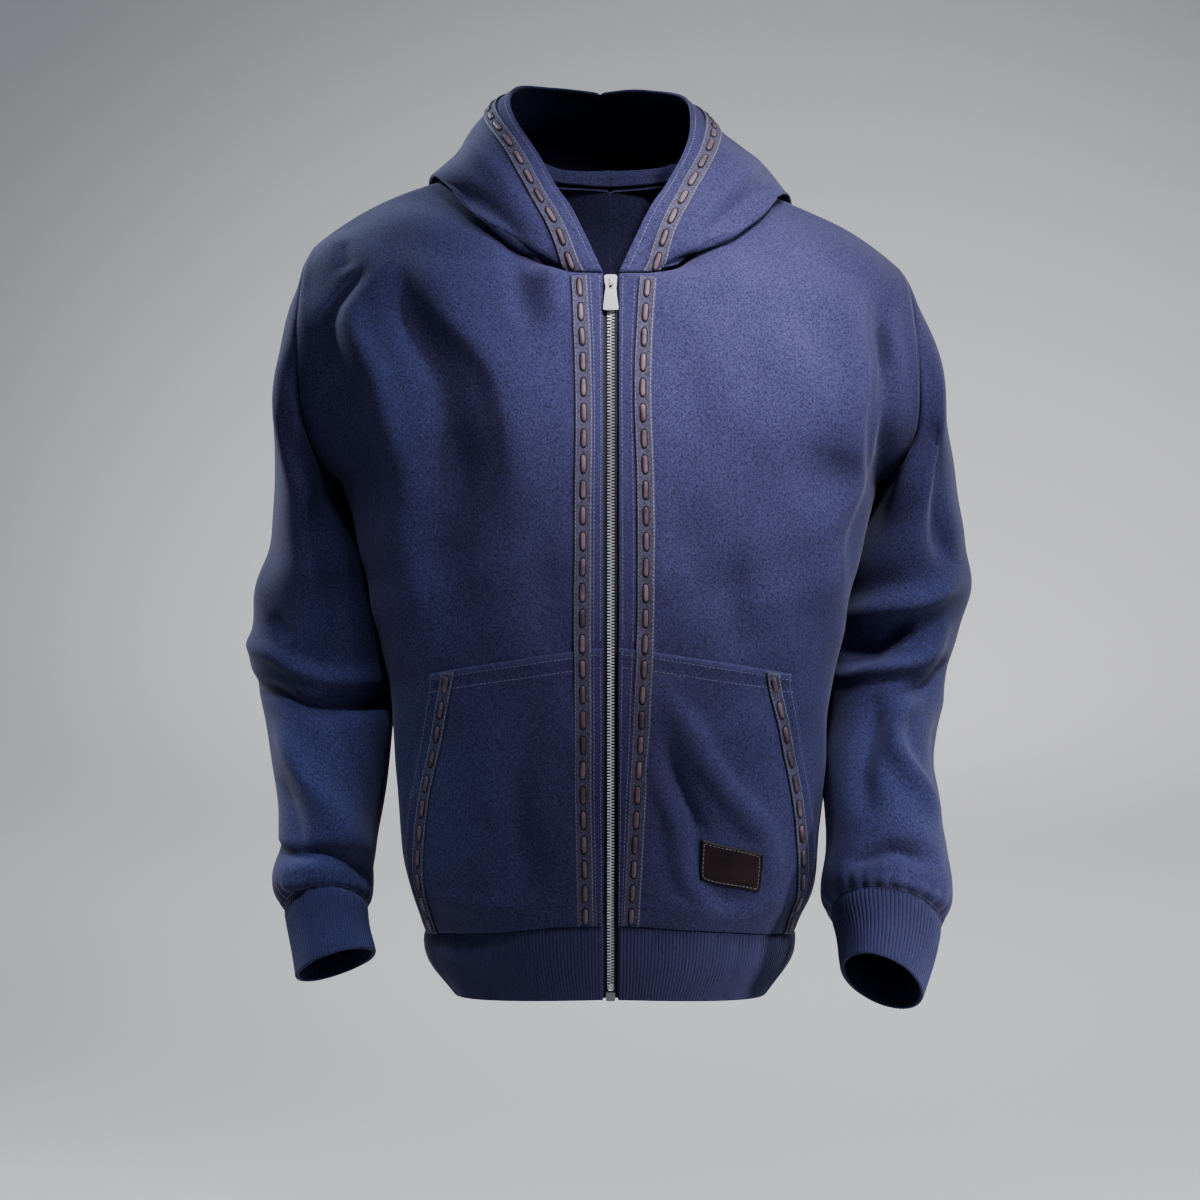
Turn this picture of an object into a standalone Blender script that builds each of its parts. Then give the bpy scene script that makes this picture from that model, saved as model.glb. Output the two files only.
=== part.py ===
"""A zip-up hoodie in the hollow form it has when worn.

Metres, +Z up. The front faces -Y and the wearer's left is +X. The origin is at the middle
of the neck, at the height where the shoulder line meets it.

A body panel is a stack of rows. A row runs from the front or back centre line (higher up,
from the neck seam) to the side seam (higher up, to the armhole). Rows are numbered by a
level: 0 at the hem seam, ARMPIT where the sleeve joins, 1 at the shoulder seam.
"""
import math

import bmesh
import bpy
import numpy as np

# ---------------------------------------------------------------- driving dimensions
FLEECE = 0.0020            # wall of the brushed fleece
RIB = 0.0028               # wall of the doubled rib knit
HOOD_WALL = 0.0024
BAND_WALL = 0.0012         # the narrow lace bands
TAPE_WALL = 0.0008
SEAM_GAP = 0.0003          # between two pieces at a seam
LAYER_GAP = 0.0005         # between a panel and what lies on it
EDGE_INSET = 0.0010        # keeps a piece that lies on a panel off the panel's edge
NECK_GAP = 0.0009
NECK_LIFT = 0.0026         # the hood's lower edge stands on the panels, not between them

SAME_POINT = 0.0004        # points of two pieces this near are one point of their seam

ZIP_OPENING = 0.0065       # half the slot between the two front edges
TOOTH_ROW = 0.0036         # half the width of the closed chain
TAPE_REACH = 0.0170        # how far the tape goes under each front
BAND_WIDTH = 0.0145
POCKET_BAND_WIDTH = 0.0120
POCKET_BAND_INSET = 0.0115  # from the pocket's open edge to its band
PATCH_SIZE = (0.053, 0.035)
PATCH_WALL = 0.0014
PATCH_TURN = math.radians(7.0)

ARMPIT = 0.40
NECK_FRONT = 0.70
NECK_BACK = 0.82
LOW_LEVELS = [0.0, 0.04, 0.08, 0.12, 0.16, 0.20, 0.24, 0.30, 0.36, ARMPIT]
HIGH_LEVELS = [0.475, 0.55, 0.625, NECK_FRONT, 0.76, NECK_BACK, 0.88, 0.94, 1.0]
POCKET_ROWS = 7            # of LOW_LEVELS, from the hem seam up
POCKET_CELLS = 4           # between the front band and the pocket's band
SIDE_CELLS = 4             # between the pocket and the side seam
BACK_CELLS = 12
HOOD_STATIONS = 12
HOOD_CELLS = 10

# The left shoulder hangs a little lower and closer in than the right one, and the upright
# part of the hood leans to the right.
SHOULDER_DROP = 0.019
SHOULDER_PULL = 0.006
HOOD_SHIFT = -0.009
HOOD_DROP = 0.007

# ---------------------------------------------------------------- section tables
# Centre lines: (level, y, z).
CENTRE_FRONT = [
    (0.00, -0.112, -0.612), (0.05, -0.121, -0.572), (0.10, -0.126, -0.520),
    (0.20, -0.131, -0.420), (0.30, -0.134, -0.320), (ARMPIT, -0.131, -0.225),
    (0.50, -0.123, -0.172), (0.60, -0.109, -0.117), (NECK_FRONT, -0.090, -0.064),
]
CENTRE_BACK = [
    (0.00, 0.116, -0.645), (0.05, 0.127, -0.600), (0.10, 0.130, -0.545),
    (0.20, 0.124, -0.435), (0.30, 0.126, -0.330), (ARMPIT, 0.134, -0.232),
    (0.50, 0.133, -0.175), (0.60, 0.126, -0.118), (0.70, 0.112, -0.066),
    (NECK_BACK, 0.082, 0.006),
]
# Neck seam from its centre to the shoulder: (level, x, y, z).
NECK_SEAM_FRONT = [
    (NECK_FRONT, ZIP_OPENING, -0.0900, -0.0640), (0.76, 0.0300, -0.0865, -0.0645),
    (NECK_BACK, 0.0560, -0.0760, -0.0590), (0.88, 0.0765, -0.0570, -0.0400),
    (0.94, 0.0905, -0.0310, -0.0110), (1.00, 0.0975, 0.0000, 0.0220),
]
NECK_SEAM_BACK = [
    (NECK_BACK, 0.0, 0.0820, 0.0060), (0.88, 0.0400, 0.0740, 0.0090),
    (0.94, 0.0740, 0.0460, 0.0150), (1.00, 0.0975, 0.0000, 0.0220),
]
# Side seam from the hem to the armpit: (level, x, y, z).
SIDE_SEAM = [
    (0.00, 0.161, 0.000, -0.637), (0.05, 0.168, 0.002, -0.600), (0.10, 0.170, 0.006, -0.548),
    (0.20, 0.174, 0.012, -0.440), (0.30, 0.186, 0.012, -0.345), (ARMPIT, 0.226, 0.006, -0.250),
]
# Armhole from the armpit to the shoulder, at the front and at the back: (level, x, y, z).
ARMHOLE_FRONT = [
    (ARMPIT, 0.2260, 0.0060, -0.2500), (0.475, 0.2450, -0.0440, -0.2290),
    (0.55, 0.2590, -0.0700, -0.1930), (0.625, 0.2640, -0.0780, -0.1520),
    (NECK_FRONT, 0.2655, -0.0720, -0.1160), (0.80, 0.2640, -0.0540, -0.0830),
    (0.90, 0.2615, -0.0300, -0.0580), (1.00, 0.2580, 0.0040, -0.0450),
]
ARMHOLE_BACK = [
    (ARMPIT, 0.2260, 0.0060, -0.2500), (0.475, 0.2440, 0.0500, -0.2280),
    (0.55, 0.2580, 0.0760, -0.1900), (0.625, 0.2630, 0.0840, -0.1480),
    (NECK_FRONT, 0.2650, 0.0790, -0.1120), (0.80, 0.2640, 0.0600, -0.0800),
    (0.90, 0.2615, 0.0340, -0.0560), (1.00, 0.2580, 0.0040, -0.0450),
]
# Fullness of each row, as the two inner handles of its curve:
# (level, near_x, near_y, near_z, far_x, far_y, far_z).
FRONT_FULLNESS = [
    (0.00, 0.100, -0.116, -0.614, 0.170, -0.086, -0.630),
    (0.05, 0.112, -0.127, -0.574, 0.194, -0.098, -0.592),
    (0.10, 0.115, -0.132, -0.522, 0.208, -0.104, -0.540),
    (0.20, 0.122, -0.139, -0.422, 0.222, -0.108, -0.436),
    (0.30, 0.136, -0.145, -0.322, 0.250, -0.110, -0.338),
    (ARMPIT, 0.145, -0.146, -0.226, 0.248, -0.108, -0.243),
    (0.50, 0.138, -0.142, -0.176, 0.224, -0.128, -0.196),
    (0.60, 0.126, -0.130, -0.124, 0.222, -0.124, -0.148),
    (NECK_FRONT, 0.116, -0.113, -0.076, 0.212, -0.106, -0.098),
    (0.80, 0.118, -0.098, -0.048, 0.206, -0.086, -0.058),
    (0.90, 0.130, -0.062, -0.010, 0.205, -0.050, -0.019),
    (1.00, 0.140, 0.002, 0.018, 0.205, 0.003, 0.003),
]
BACK_FULLNESS = [
    (0.00, 0.100, 0.120, -0.645, 0.168, 0.088, -0.641),
    (0.05, 0.112, 0.132, -0.600, 0.182, 0.100, -0.600),
    (0.10, 0.115, 0.136, -0.545, 0.188, 0.106, -0.546),
    (0.20, 0.122, 0.132, -0.436, 0.190, 0.108, -0.440),
    (0.30, 0.135, 0.136, -0.331, 0.205, 0.110, -0.342),
    (ARMPIT, 0.145, 0.144, -0.233, 0.236, 0.108, -0.244),
    (0.50, 0.140, 0.144, -0.176, 0.222, 0.132, -0.190),
    (0.60, 0.130, 0.138, -0.120, 0.220, 0.130, -0.140),
    (0.70, 0.122, 0.124, -0.070, 0.212, 0.112, -0.092),
    (NECK_BACK, 0.118, 0.094, -0.008, 0.206, 0.082, -0.040),
    (0.90, 0.128, 0.062, 0.006, 0.205, 0.052, -0.014),
    (1.00, 0.140, 0.002, 0.018, 0.205, 0.003, 0.003),
]
# Hem band, below the hem seam. One row for each ring, as the controls of its front and back
# halves: centre (y, z), near handle, far handle, side.
HEM_FRONT = [
    (-0.109, -0.647, 0.098, -0.113, -0.648, 0.163, -0.083, -0.656, 0.157, 0.000, -0.663),
    (-0.099, -0.680, 0.086, -0.103, -0.681, 0.145, -0.076, -0.687, 0.133, 0.000, -0.692),
]
HEM_BACK = [
    (0.114, -0.680, 0.098, 0.117, -0.680, 0.162, 0.085, -0.670, 0.157, 0.000, -0.663),
    (0.104, -0.711, 0.086, 0.107, -0.711, 0.143, 0.078, -0.704, 0.133, 0.000, -0.692),
]
# Sleeve rings below the armhole. The last column moves the front and back of the ring out:
# (outer_x, outer_z, inner_x, inner_z, middle_y, half_depth, front_lift, spread).
SLEEVE_RIGHT = [
    (0.2760, -0.112, 0.2262, -0.268, 0.006, 0.085, 0.000, 0.024),
    (0.2830, -0.172, 0.2140, -0.295, 0.008, 0.089, 0.000, 0.021),
    (0.2890, -0.238, 0.2025, -0.331, 0.012, 0.088, 0.000, 0.013),
    (0.2955, -0.300, 0.1960, -0.362, 0.016, 0.084, 0.002, 0.006),
    (0.3100, -0.360, 0.1910, -0.394, 0.018, 0.078, 0.006, 0.000),
    (0.3150, -0.400, 0.1900, -0.422, 0.016, 0.073, 0.010, 0.000),
    (0.3030, -0.440, 0.1910, -0.450, 0.008, 0.069, 0.014, 0.000),
    (0.2960, -0.480, 0.1930, -0.484, -0.006, 0.064, 0.018, 0.000),
    (0.2880, -0.525, 0.1980, -0.524, -0.024, 0.058, 0.022, 0.000),
    (0.2870, -0.565, 0.2040, -0.560, -0.042, 0.053, 0.024, 0.000),
    (0.2890, -0.592, 0.2050, -0.588, -0.052, 0.050, 0.026, 0.000),
    (0.2790, -0.610, 0.2100, -0.606, -0.058, 0.042, 0.026, 0.000),
]
SLEEVE_LEFT = [
    (0.2750, -0.120, 0.2262, -0.268, 0.006, 0.085, 0.000, 0.024),
    (0.2860, -0.182, 0.2140, -0.296, 0.008, 0.089, 0.000, 0.021),
    (0.2990, -0.245, 0.2025, -0.333, 0.012, 0.088, 0.000, 0.013),
    (0.3095, -0.300, 0.1960, -0.362, 0.016, 0.084, 0.004, 0.006),
    (0.3130, -0.340, 0.1905, -0.388, 0.016, 0.078, 0.010, 0.000),
    (0.3030, -0.378, 0.1890, -0.412, 0.010, 0.073, 0.014, 0.000),
    (0.2900, -0.420, 0.1870, -0.440, -0.002, 0.068, 0.020, 0.000),
    (0.2840, -0.465, 0.1850, -0.474, -0.024, 0.063, 0.026, 0.000),
    (0.2800, -0.515, 0.1840, -0.514, -0.058, 0.057, 0.032, 0.000),
    (0.2860, -0.560, 0.1840, -0.554, -0.086, 0.053, 0.036, 0.000),
    (0.2880, -0.592, 0.1800, -0.584, -0.104, 0.050, 0.036, 0.000),
    (0.2780, -0.614, 0.1860, -0.600, -0.112, 0.043, 0.034, 0.000),
]
EVEN_RING = 5              # the rings' points are evenly spaced from this ring on
# Cuff rings below the sleeve's last one, in the same columns.
CUFF_RIGHT = [
    (0.2740, -0.636, 0.2080, -0.624, -0.068, 0.036, 0.020, 0.000),
    (0.2685, -0.664, 0.2025, -0.642, -0.082, 0.032, 0.016, 0.000),
]
CUFF_LEFT = [
    (0.2720, -0.640, 0.1920, -0.620, -0.124, 0.035, 0.029, 0.000),
    (0.2610, -0.667, 0.1950, -0.642, -0.141, 0.028, 0.026, 0.000),
]
# Hood sections, from the shoulder side of the front neck to the centre back. Each runs from
# the open edge over the outside, round the fold that lies on the shoulders and up to the
# neck seam: (edge, band, outer, lower, fold, inner, stand), each (x, y, z).
HOOD_SECTIONS = [
    ((0.0315, -0.068, -0.012), (0.0460, -0.077, -0.024), (0.0590, -0.081, -0.033),
     (0.0700, -0.080, -0.038), (0.0830, -0.073, -0.034), (0.0840, -0.065, -0.027),
     (0.0780, -0.059, -0.029)),
    ((0.0490, -0.046, 0.014), (0.0650, -0.059, 0.004), (0.0840, -0.067, -0.006),
     (0.0980, -0.068, -0.014), (0.1180, -0.058, -0.012), (0.1100, -0.046, 0.000),
     (0.0930, -0.034, 0.004)),
    ((0.0740, -0.004, 0.064), (0.0920, -0.016, 0.054), (0.1130, -0.022, 0.040),
     (0.1330, -0.022, 0.026), (0.1500, -0.008, 0.019), (0.1280, -0.002, 0.031),
     (0.1010, -0.001, 0.036)),
    ((0.0740, 0.045, 0.094), (0.0920, 0.049, 0.080), (0.1180, 0.060, 0.052),
     (0.1430, 0.072, 0.018), (0.1520, 0.082, -0.018), (0.1250, 0.066, 0.014),
     (0.0830, 0.051, 0.030)),
    ((0.0420, 0.080, 0.096), (0.0550, 0.099, 0.084), (0.0800, 0.135, 0.040),
     (0.1010, 0.160, -0.040), (0.0960, 0.155, -0.128), (0.0760, 0.124, -0.040),
     (0.0460, 0.083, 0.024)),
    ((0.0000, 0.092, 0.092), (0.0000, 0.112, 0.082), (0.0000, 0.158, 0.030),
     (0.0000, 0.186, -0.060), (0.0000, 0.166, -0.170), (0.0000, 0.142, -0.080),
     (0.0000, 0.094, 0.018)),
]
# Middle of the front band from the front edge: (level, right, left).
FRONT_BAND = [
    (0.00, 0.0145, 0.0105), (0.10, 0.0165, 0.0150), (0.22, 0.0172, 0.0212),
    (0.60, 0.0180, 0.0216), (NECK_FRONT, 0.0215, 0.0255),
]
HOOD_BAND_MIDDLE = 0.0215
# The pocket's open edge from the front edge: (level, distance).
POCKET_EDGE = [
    (0.00, 0.178), (0.06, 0.182), (0.12, 0.174), (0.18, 0.160), (0.24, 0.147), (0.36, 0.150),
    (ARMPIT, 0.155), (1.00, 0.100),
]
# The pocket's top edge falls from the zip to its outer corner, as a change of level.
POCKET_TOP = 0.24
POCKET_TOP_FALL = (0.007, -0.009)
PATCH_PLACE = (0.095, 0.068)  # (distance from the front edge, level)

SIDES = {"right": -1.0, "left": 1.0}
COLOURS = {
    "fleece": (0.020, 0.022, 0.085, 0.90, 0.0),
    "rib": (0.017, 0.020, 0.080, 0.92, 0.0),
    "band": (0.035, 0.028, 0.060, 0.70, 0.0),
    "tape": (0.010, 0.010, 0.025, 0.85, 0.0),
    "metal": (0.60, 0.60, 0.61, 0.28, 1.0),
    "leather": (0.018, 0.009, 0.011, 0.45, 0.0),
}


# ---------------------------------------------------------------- curves and surfaces
def smooth_table(table, level):
    """Reads a table at a level along a smooth curve through its rows."""
    rows = np.asarray(table, dtype=float)
    at = rows[:, 0]
    values = rows[:, 1:]
    slopes = np.gradient(values, at, axis=0)
    i = int(np.clip(np.searchsorted(at, level) - 1, 0, len(at) - 2))
    span = at[i + 1] - at[i]
    t = np.clip((level - at[i]) / span, 0.0, 1.0)
    return hermite(values[i], values[i + 1], slopes[i] * span, slopes[i + 1] * span, t)


def hermite(start, end, leave, arrive, t):
    return ((2 * t ** 3 - 3 * t ** 2 + 1) * start + (t ** 3 - 2 * t ** 2 + t) * leave
            + (3 * t ** 2 - 2 * t ** 3) * end + (t ** 3 - t ** 2) * arrive)


def smoothstep(value, low, high):
    t = np.clip((value - low) / (high - low), 0.0, 1.0)
    return t * t * (3.0 - 2.0 * t)


def bezier(controls, steps=48):
    """Points along one cubic curve."""
    t = np.linspace(0.0, 1.0, steps + 1)[:, None]
    a, b, c, d = (np.asarray(p, dtype=float) for p in controls)
    return (1 - t) ** 3 * a + 3 * t * (1 - t) ** 2 * b + 3 * t ** 2 * (1 - t) * c + t ** 3 * d


def along(points, distances):
    """Points at the given distances along a polyline."""
    run = np.concatenate([[0.0], np.cumsum(np.linalg.norm(np.diff(points, axis=0), axis=1))])
    return np.stack([np.interp(distances, run, points[:, k]) for k in range(3)], axis=-1)


def length(points):
    return float(np.linalg.norm(np.diff(points, axis=0), axis=1).sum())


def lean(points):
    """Lowers the left shoulder and everything that lies on it."""
    x = points[..., 0]
    z = points[..., 2]
    out = points.copy()
    out[..., 2] -= SHOULDER_DROP * smoothstep(x, 0.04, 0.19) * smoothstep(z, -0.26, -0.08)
    out[..., 0] -= SHOULDER_PULL * smoothstep(x, 0.18, 0.26) * smoothstep(z, -0.22, -0.08)
    return out


def lean_hood(points):
    """The upright part of the hood leans to the right of the zip, and is lower on the left."""
    x = points[..., 0]
    upright = smoothstep(points[..., 2], 0.030, 0.085)
    out = points.copy()
    out[..., 0] += HOOD_SHIFT * upright
    out[..., 2] -= HOOD_DROP * smoothstep(x, 0.02, 0.08) * upright
    return out


def side_end(face, level):
    if level <= ARMPIT:
        return smooth_table(SIDE_SEAM, level)
    return smooth_table(ARMHOLE_FRONT if face == "front" else ARMHOLE_BACK, level)


def centre_end(face, level):
    neck = NECK_FRONT if face == "front" else NECK_BACK
    if level >= neck:
        return smooth_table(NECK_SEAM_FRONT if face == "front" else NECK_SEAM_BACK, level)
    y, z = smooth_table(CENTRE_FRONT if face == "front" else CENTRE_BACK, level)
    return np.array([ZIP_OPENING if face == "front" else 0.0, y, z])


def body_row(face, level):
    """The curve of one row of a body panel, on the wearer's left."""
    handles = smooth_table(FRONT_FULLNESS if face == "front" else BACK_FULLNESS, level)
    return bezier((centre_end(face, level), handles[:3], handles[3:], side_end(face, level)))


def hem_row(face, index):
    """A ring of the hem band: 0 at the hem seam, then the rows of its table."""
    if index == 0:
        return body_row(face, 0.0)
    row = (HEM_FRONT if face == "front" else HEM_BACK)[index - 1]
    centre = (ZIP_OPENING if face == "front" else 0.0, row[0], row[1])
    return bezier((centre, row[2:5], row[5:8], row[8:11]))


def mirrored(points, side):
    return points * np.array([SIDES[side], 1.0, 1.0])


def front_columns(level, side, row_length):
    """Distances along a front row: band edges, pocket, pocket's band, side seam."""
    middle = smooth_table(FRONT_BAND, min(level, NECK_FRONT))[0 if side == "right" else 1]
    band = [middle - BAND_WIDTH / 2, middle + BAND_WIDTH / 2]
    edge = smooth_table(POCKET_EDGE, level)[0]
    pocket_band = [edge - POCKET_BAND_INSET - POCKET_BAND_WIDTH, edge - POCKET_BAND_INSET]
    between = np.linspace(band[1], pocket_band[0], POCKET_CELLS + 1)[1:-1]
    rest = np.linspace(edge, row_length, SIDE_CELLS + 1)[1:]
    return np.concatenate([[0.0], band, between, pocket_band, [edge], rest])


def front_grid(side):
    """Points of a front, by level and by distance from the front edge."""
    rows = []
    for level in LOW_LEVELS + HIGH_LEVELS:
        row = body_row("front", level)
        columns = front_columns(level, side, length(row))
        near_top = smoothstep(level, 0.12, POCKET_TOP) - smoothstep(level, POCKET_TOP, 0.36)
        points = along(row, columns)
        if near_top > 0.0:
            fall = np.interp(columns, (0.0, 0.15, 0.21), POCKET_TOP_FALL + (0.0,)) * near_top
            for k, distance in enumerate(columns[:-1]):
                points[k] = along(body_row("front", level + fall[k]), [distance])[0]
        rows.append(points)
    return lean(mirrored(np.array(rows), side))


def hem_front_grid(side):
    rows = []
    for index in range(len(HEM_FRONT) + 1):
        row = hem_row("front", index)
        stretch = length(row) / length(body_row("front", 0.0))
        columns = front_columns(0.0, side, length(body_row("front", 0.0))) * stretch
        rows.append(along(row, columns))
    return mirrored(np.array(rows), side)


def back_grid(side):
    """Points of half the back, by level and by distance from its centre line."""
    rows = []
    for level in LOW_LEVELS + HIGH_LEVELS:
        row = body_row("back", level)
        even = np.linspace(0.0, length(row), BACK_CELLS + 1)
        like_front = front_columns(1.0, side, length(row))
        share = smoothstep(level, 0.88, 1.0)
        rows.append(along(row, even * (1.0 - share) + like_front * share))
    return lean(mirrored(np.array(rows), side))


def hem_back_grid():
    rows = []
    for index in range(len(HEM_BACK) + 1):
        row = hem_row("back", index)
        rows.append(along(row, np.linspace(0.0, length(row), BACK_CELLS + 1)))
    half = np.array(rows)
    return np.concatenate([mirrored(half, "right")[:, ::-1], half[:, 1:]], axis=1)


def armhole_ring(side):
    """The armhole as a ring: shoulder, front, armpit, back."""
    front = [side_end("front", level) for level in [ARMPIT] + HIGH_LEVELS]
    back = [side_end("back", level) for level in [ARMPIT] + HIGH_LEVELS]
    return lean(mirrored(np.array(front[::-1] + back[1:-1]), side))


def ring_turns(side):
    """How far round each point of the armhole ring is: 0 at the shoulder, then the front."""
    ring = armhole_ring(side)
    low = ring.min(axis=0)
    high = ring.max(axis=0)
    middle = (low + high) / 2
    half = (high - low) / 2
    turns = np.arctan2(-(ring[:, 1] - middle[1]) / half[1], (ring[:, 2] - middle[2]) / half[2])
    turns[0] = 0.0
    turns[len(ring) // 2] = math.pi
    return np.where(turns < -1e-6, turns + 2.0 * math.pi, turns)


def sleeve_ring(row, side, turns):
    """An oval ring from its row in a sleeve table."""
    outer_x, outer_z, inner_x, inner_z, middle_y, depth, lift, spread = row
    reach = np.cos(turns)
    forward = np.sin(turns)
    x = (outer_x + inner_x) / 2 + reach * (outer_x - inner_x) / 2 + spread * forward ** 2
    z = (outer_z + inner_z) / 2 + reach * (outer_z - inner_z) / 2 + forward * lift
    y = middle_y - forward * depth
    return mirrored(np.stack([x, y, z], axis=-1), side)


def sleeve_rings(side):
    table = SLEEVE_RIGHT if side == "right" else SLEEVE_LEFT
    rings = [armhole_ring(side)]
    seam_turns = ring_turns(side)
    even_turns = np.arange(len(seam_turns)) * 2.0 * math.pi / len(seam_turns)
    for k, row in enumerate(table):
        share = smoothstep(k + 1.0, 0.0, EVEN_RING)
        rings.append(sleeve_ring(row, side, seam_turns + (even_turns - seam_turns) * share))
    return np.array(rings)


def cuff_rings(side):
    sleeve = SLEEVE_RIGHT if side == "right" else SLEEVE_LEFT
    cuff = CUFF_RIGHT if side == "right" else CUFF_LEFT
    count = len(armhole_ring(side))
    turns = np.arange(count) * 2.0 * math.pi / count
    return np.array([sleeve_ring(row, side, turns) for row in [sleeve[-1]] + cuff])


def neck_line():
    """The neck seam from the zip round to the centre back, on the wearer's left."""
    front = [centre_end("front", level) for level in HIGH_LEVELS if level >= NECK_FRONT]
    back = [centre_end("back", level) for level in HIGH_LEVELS if level >= NECK_BACK]
    return np.array(front + back[::-1][1:])


def neck_point(position):
    """A point on the neck seam's polyline, lifted onto the edge of the body panels."""
    line = neck_line()
    at = np.arange(len(line))
    point = np.array([np.interp(position, at, line[:, k]) for k in range(3)])
    point[2] += NECK_GAP + NECK_LIFT * smoothstep(position, 0.5, 3.0)
    return point


def hood_section(station):
    """The hood's section at a station: 0 at the front neck, 1 at the centre back."""
    first_stop = 2.0
    last_stop = len(neck_line()) - 1.0
    seam_start = np.array([neck_point(first_stop * k / 7.0) for k in range(7)])
    sections = [seam_start] + [np.array(section) for section in HOOD_SECTIONS]
    table = [(k / (len(sections) - 1.0), *sections[k].ravel()) for k in range(len(sections))]
    points = smooth_table(table, station).reshape(-1, 3)
    end = neck_point(first_stop + (last_stop - first_stop) * station)
    return smooth_polyline(np.vstack([points, end]))


def smooth_polyline(points, steps=8):
    """A smooth curve through the points, sampled finely."""
    table = [(k, *point) for k, point in enumerate(points)]
    samples = np.linspace(0.0, len(points) - 1.0, steps * (len(points) - 1) + 1)
    return np.array([smooth_table(table, s) for s in samples])


def hood_grid(side):
    """Rows run round the neck, columns from the open edge to the neck seam."""
    rows = []
    for k in range(HOOD_STATIONS + 1):
        station = k / HOOD_STATIONS
        section = hood_section(station)
        first = smooth_table(FRONT_BAND, NECK_FRONT)[0 if side == "right" else 1]
        middle = first + (HOOD_BAND_MIDDLE - first) * smoothstep(station, 0.0, 0.4)
        band = [middle - BAND_WIDTH / 2, middle + BAND_WIDTH / 2]
        rest = np.linspace(band[1], length(section), HOOD_CELLS + 1)[1:]
        rows.append(along(section, np.concatenate([[0.0], band, rest])))
    return lean(lean_hood(mirrored(np.array(rows), side)))


# ---------------------------------------------------------------- walls
def grid_normals(grid, ring=False):
    """Unit normals of a grid of points, each from its neighbours."""
    down = np.gradient(grid, axis=0)
    if ring:
        across = (np.roll(grid, -1, axis=1) - np.roll(grid, 1, axis=1)) / 2.0
    else:
        across = np.gradient(grid, axis=1)
    normal = np.cross(across, down)
    return normal / np.maximum(np.linalg.norm(normal, axis=-1, keepdims=True), 1e-12)


def outward(normals, grid, centre):
    """Turns the normals away from a point or line inside the form."""
    away = grid - centre
    turn = np.sign((normals * away).sum(axis=-1).mean())
    return normals * (turn if turn != 0 else 1.0)


def share_seam_normals(pieces):
    """Pieces that meet at a seam get one direction across the wall there."""
    nodes = {}
    for grid, normals in pieces:
        edge = np.zeros(grid.shape[:2], dtype=bool)
        edge[[0, -1], :] = True
        edge[:, [0, -1]] = True
        for i, j in zip(*np.nonzero(edge)):
            key = tuple(np.floor(grid[i, j] / SAME_POINT + 0.137).astype(int))
            nodes.setdefault(key, []).append((normals, i, j))
    for group in nodes.values():
        total = sum(normals[i, j] for normals, i, j in group)
        shared = total / max(np.linalg.norm(total), 1e-9)
        for normals, i, j in group:
            normals[i, j] = shared


def level_base(normals):
    """The hood's wall stands upright on the neck seam."""
    for border in (normals[:, -1], normals[0, :]):
        border[:, 2] = 0.0
        border /= np.linalg.norm(border, axis=1, keepdims=True)


def pull_in(grid, gap, ring=False, joined=0):
    """Moves the border points in along the cloth by half a seam gap.

    The first column's lowest rows are no border where two halves are joined there.
    """
    out = grid.copy()
    pairs = [((0, slice(None)), (1, slice(None))), ((-1, slice(None)), (-2, slice(None)))]
    if not ring:
        pairs += [((slice(joined, None), 0), (slice(joined, None), 1)),
                  ((slice(None), -1), (slice(None), -2))]
    for border, inner in pairs:
        step = grid[inner] - grid[border]
        size = np.maximum(np.linalg.norm(step, axis=-1, keepdims=True), 1e-9)
        out[border] += step / size * gap / 2.0
    return out


def wall_object(name, grids, wall, material, lift=0.0, ring=False, smooth=True):
    """One closed wall around grids of points, each a pair of points and normals.

    Grids that share points become one wall, as the two halves of the back do.
    """
    mesh = bmesh.new()
    vertices = {}
    edges = {}

    def vertex(point, direction, side):
        key = (side, *np.round(point, 6))
        if key not in vertices:
            place = point + direction * (lift_here + side * wall / 2.0)
            vertices[key] = mesh.verts.new(place.tolist())
        return vertices[key]

    lifts = np.broadcast_to(lift, grids[0][0].shape[:2] + (1,))[..., 0]
    for points, normals in grids:
        rows, columns = points.shape[:2]
        skins = {1: {}, -1: {}}
        for i in range(rows):
            for j in range(columns):
                lift_here = lifts[i, j]
                for side in skins:
                    skins[side][i, j] = vertex(points[i, j], normals[i, j], side)
        for i in range(rows - 1):
            for j in range(columns if ring else columns - 1):
                k = (j + 1) % columns
                corners = [(i, j), (i, k), (i + 1, k), (i + 1, j)]
                outer = [skins[1][c] for c in corners]
                inner = [skins[-1][c] for c in corners]
                mesh.faces.new(outer)
                mesh.faces.new(inner[::-1])
                for n in range(4):
                    m = (n + 1) % 4
                    key = frozenset((outer[n], outer[m]))
                    edges.setdefault(key, []).append((outer[n], outer[m], inner[m], inner[n]))
    for rims in edges.values():
        if len(rims) == 1:
            mesh.faces.new(rims[0][::-1])
    return finish_mesh(name, mesh, material, smooth)


def finish_mesh(name, mesh, material, smooth):
    """Closes a bmesh into an object whose faces point out."""
    bmesh.ops.triangulate(mesh, faces=mesh.faces[:])
    bmesh.ops.recalc_face_normals(mesh, faces=mesh.faces[:])
    if mesh.calc_volume(signed=True) < 0:
        bmesh.ops.reverse_faces(mesh, faces=mesh.faces[:])
    data = bpy.data.meshes.new(name)
    mesh.to_mesh(data)
    mesh.free()
    if smooth:
        data.shade_smooth()
        data.set_sharp_from_angle(angle=math.radians(40.0))
    data.materials.append(make_material(name, material))
    thing = bpy.data.objects.new(name, data)
    bpy.context.scene.collection.objects.link(thing)
    return thing


def make_material(name, kind):
    red, green, blue, roughness, metallic = COLOURS[kind]
    material = bpy.data.materials.new(name + "_material")
    material.use_nodes = True
    shader = material.node_tree.nodes["Principled BSDF"]
    shader.inputs["Base Color"].default_value = (red, green, blue, 1.0)
    shader.inputs["Roughness"].default_value = roughness
    shader.inputs["Metallic"].default_value = metallic
    return material


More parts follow.
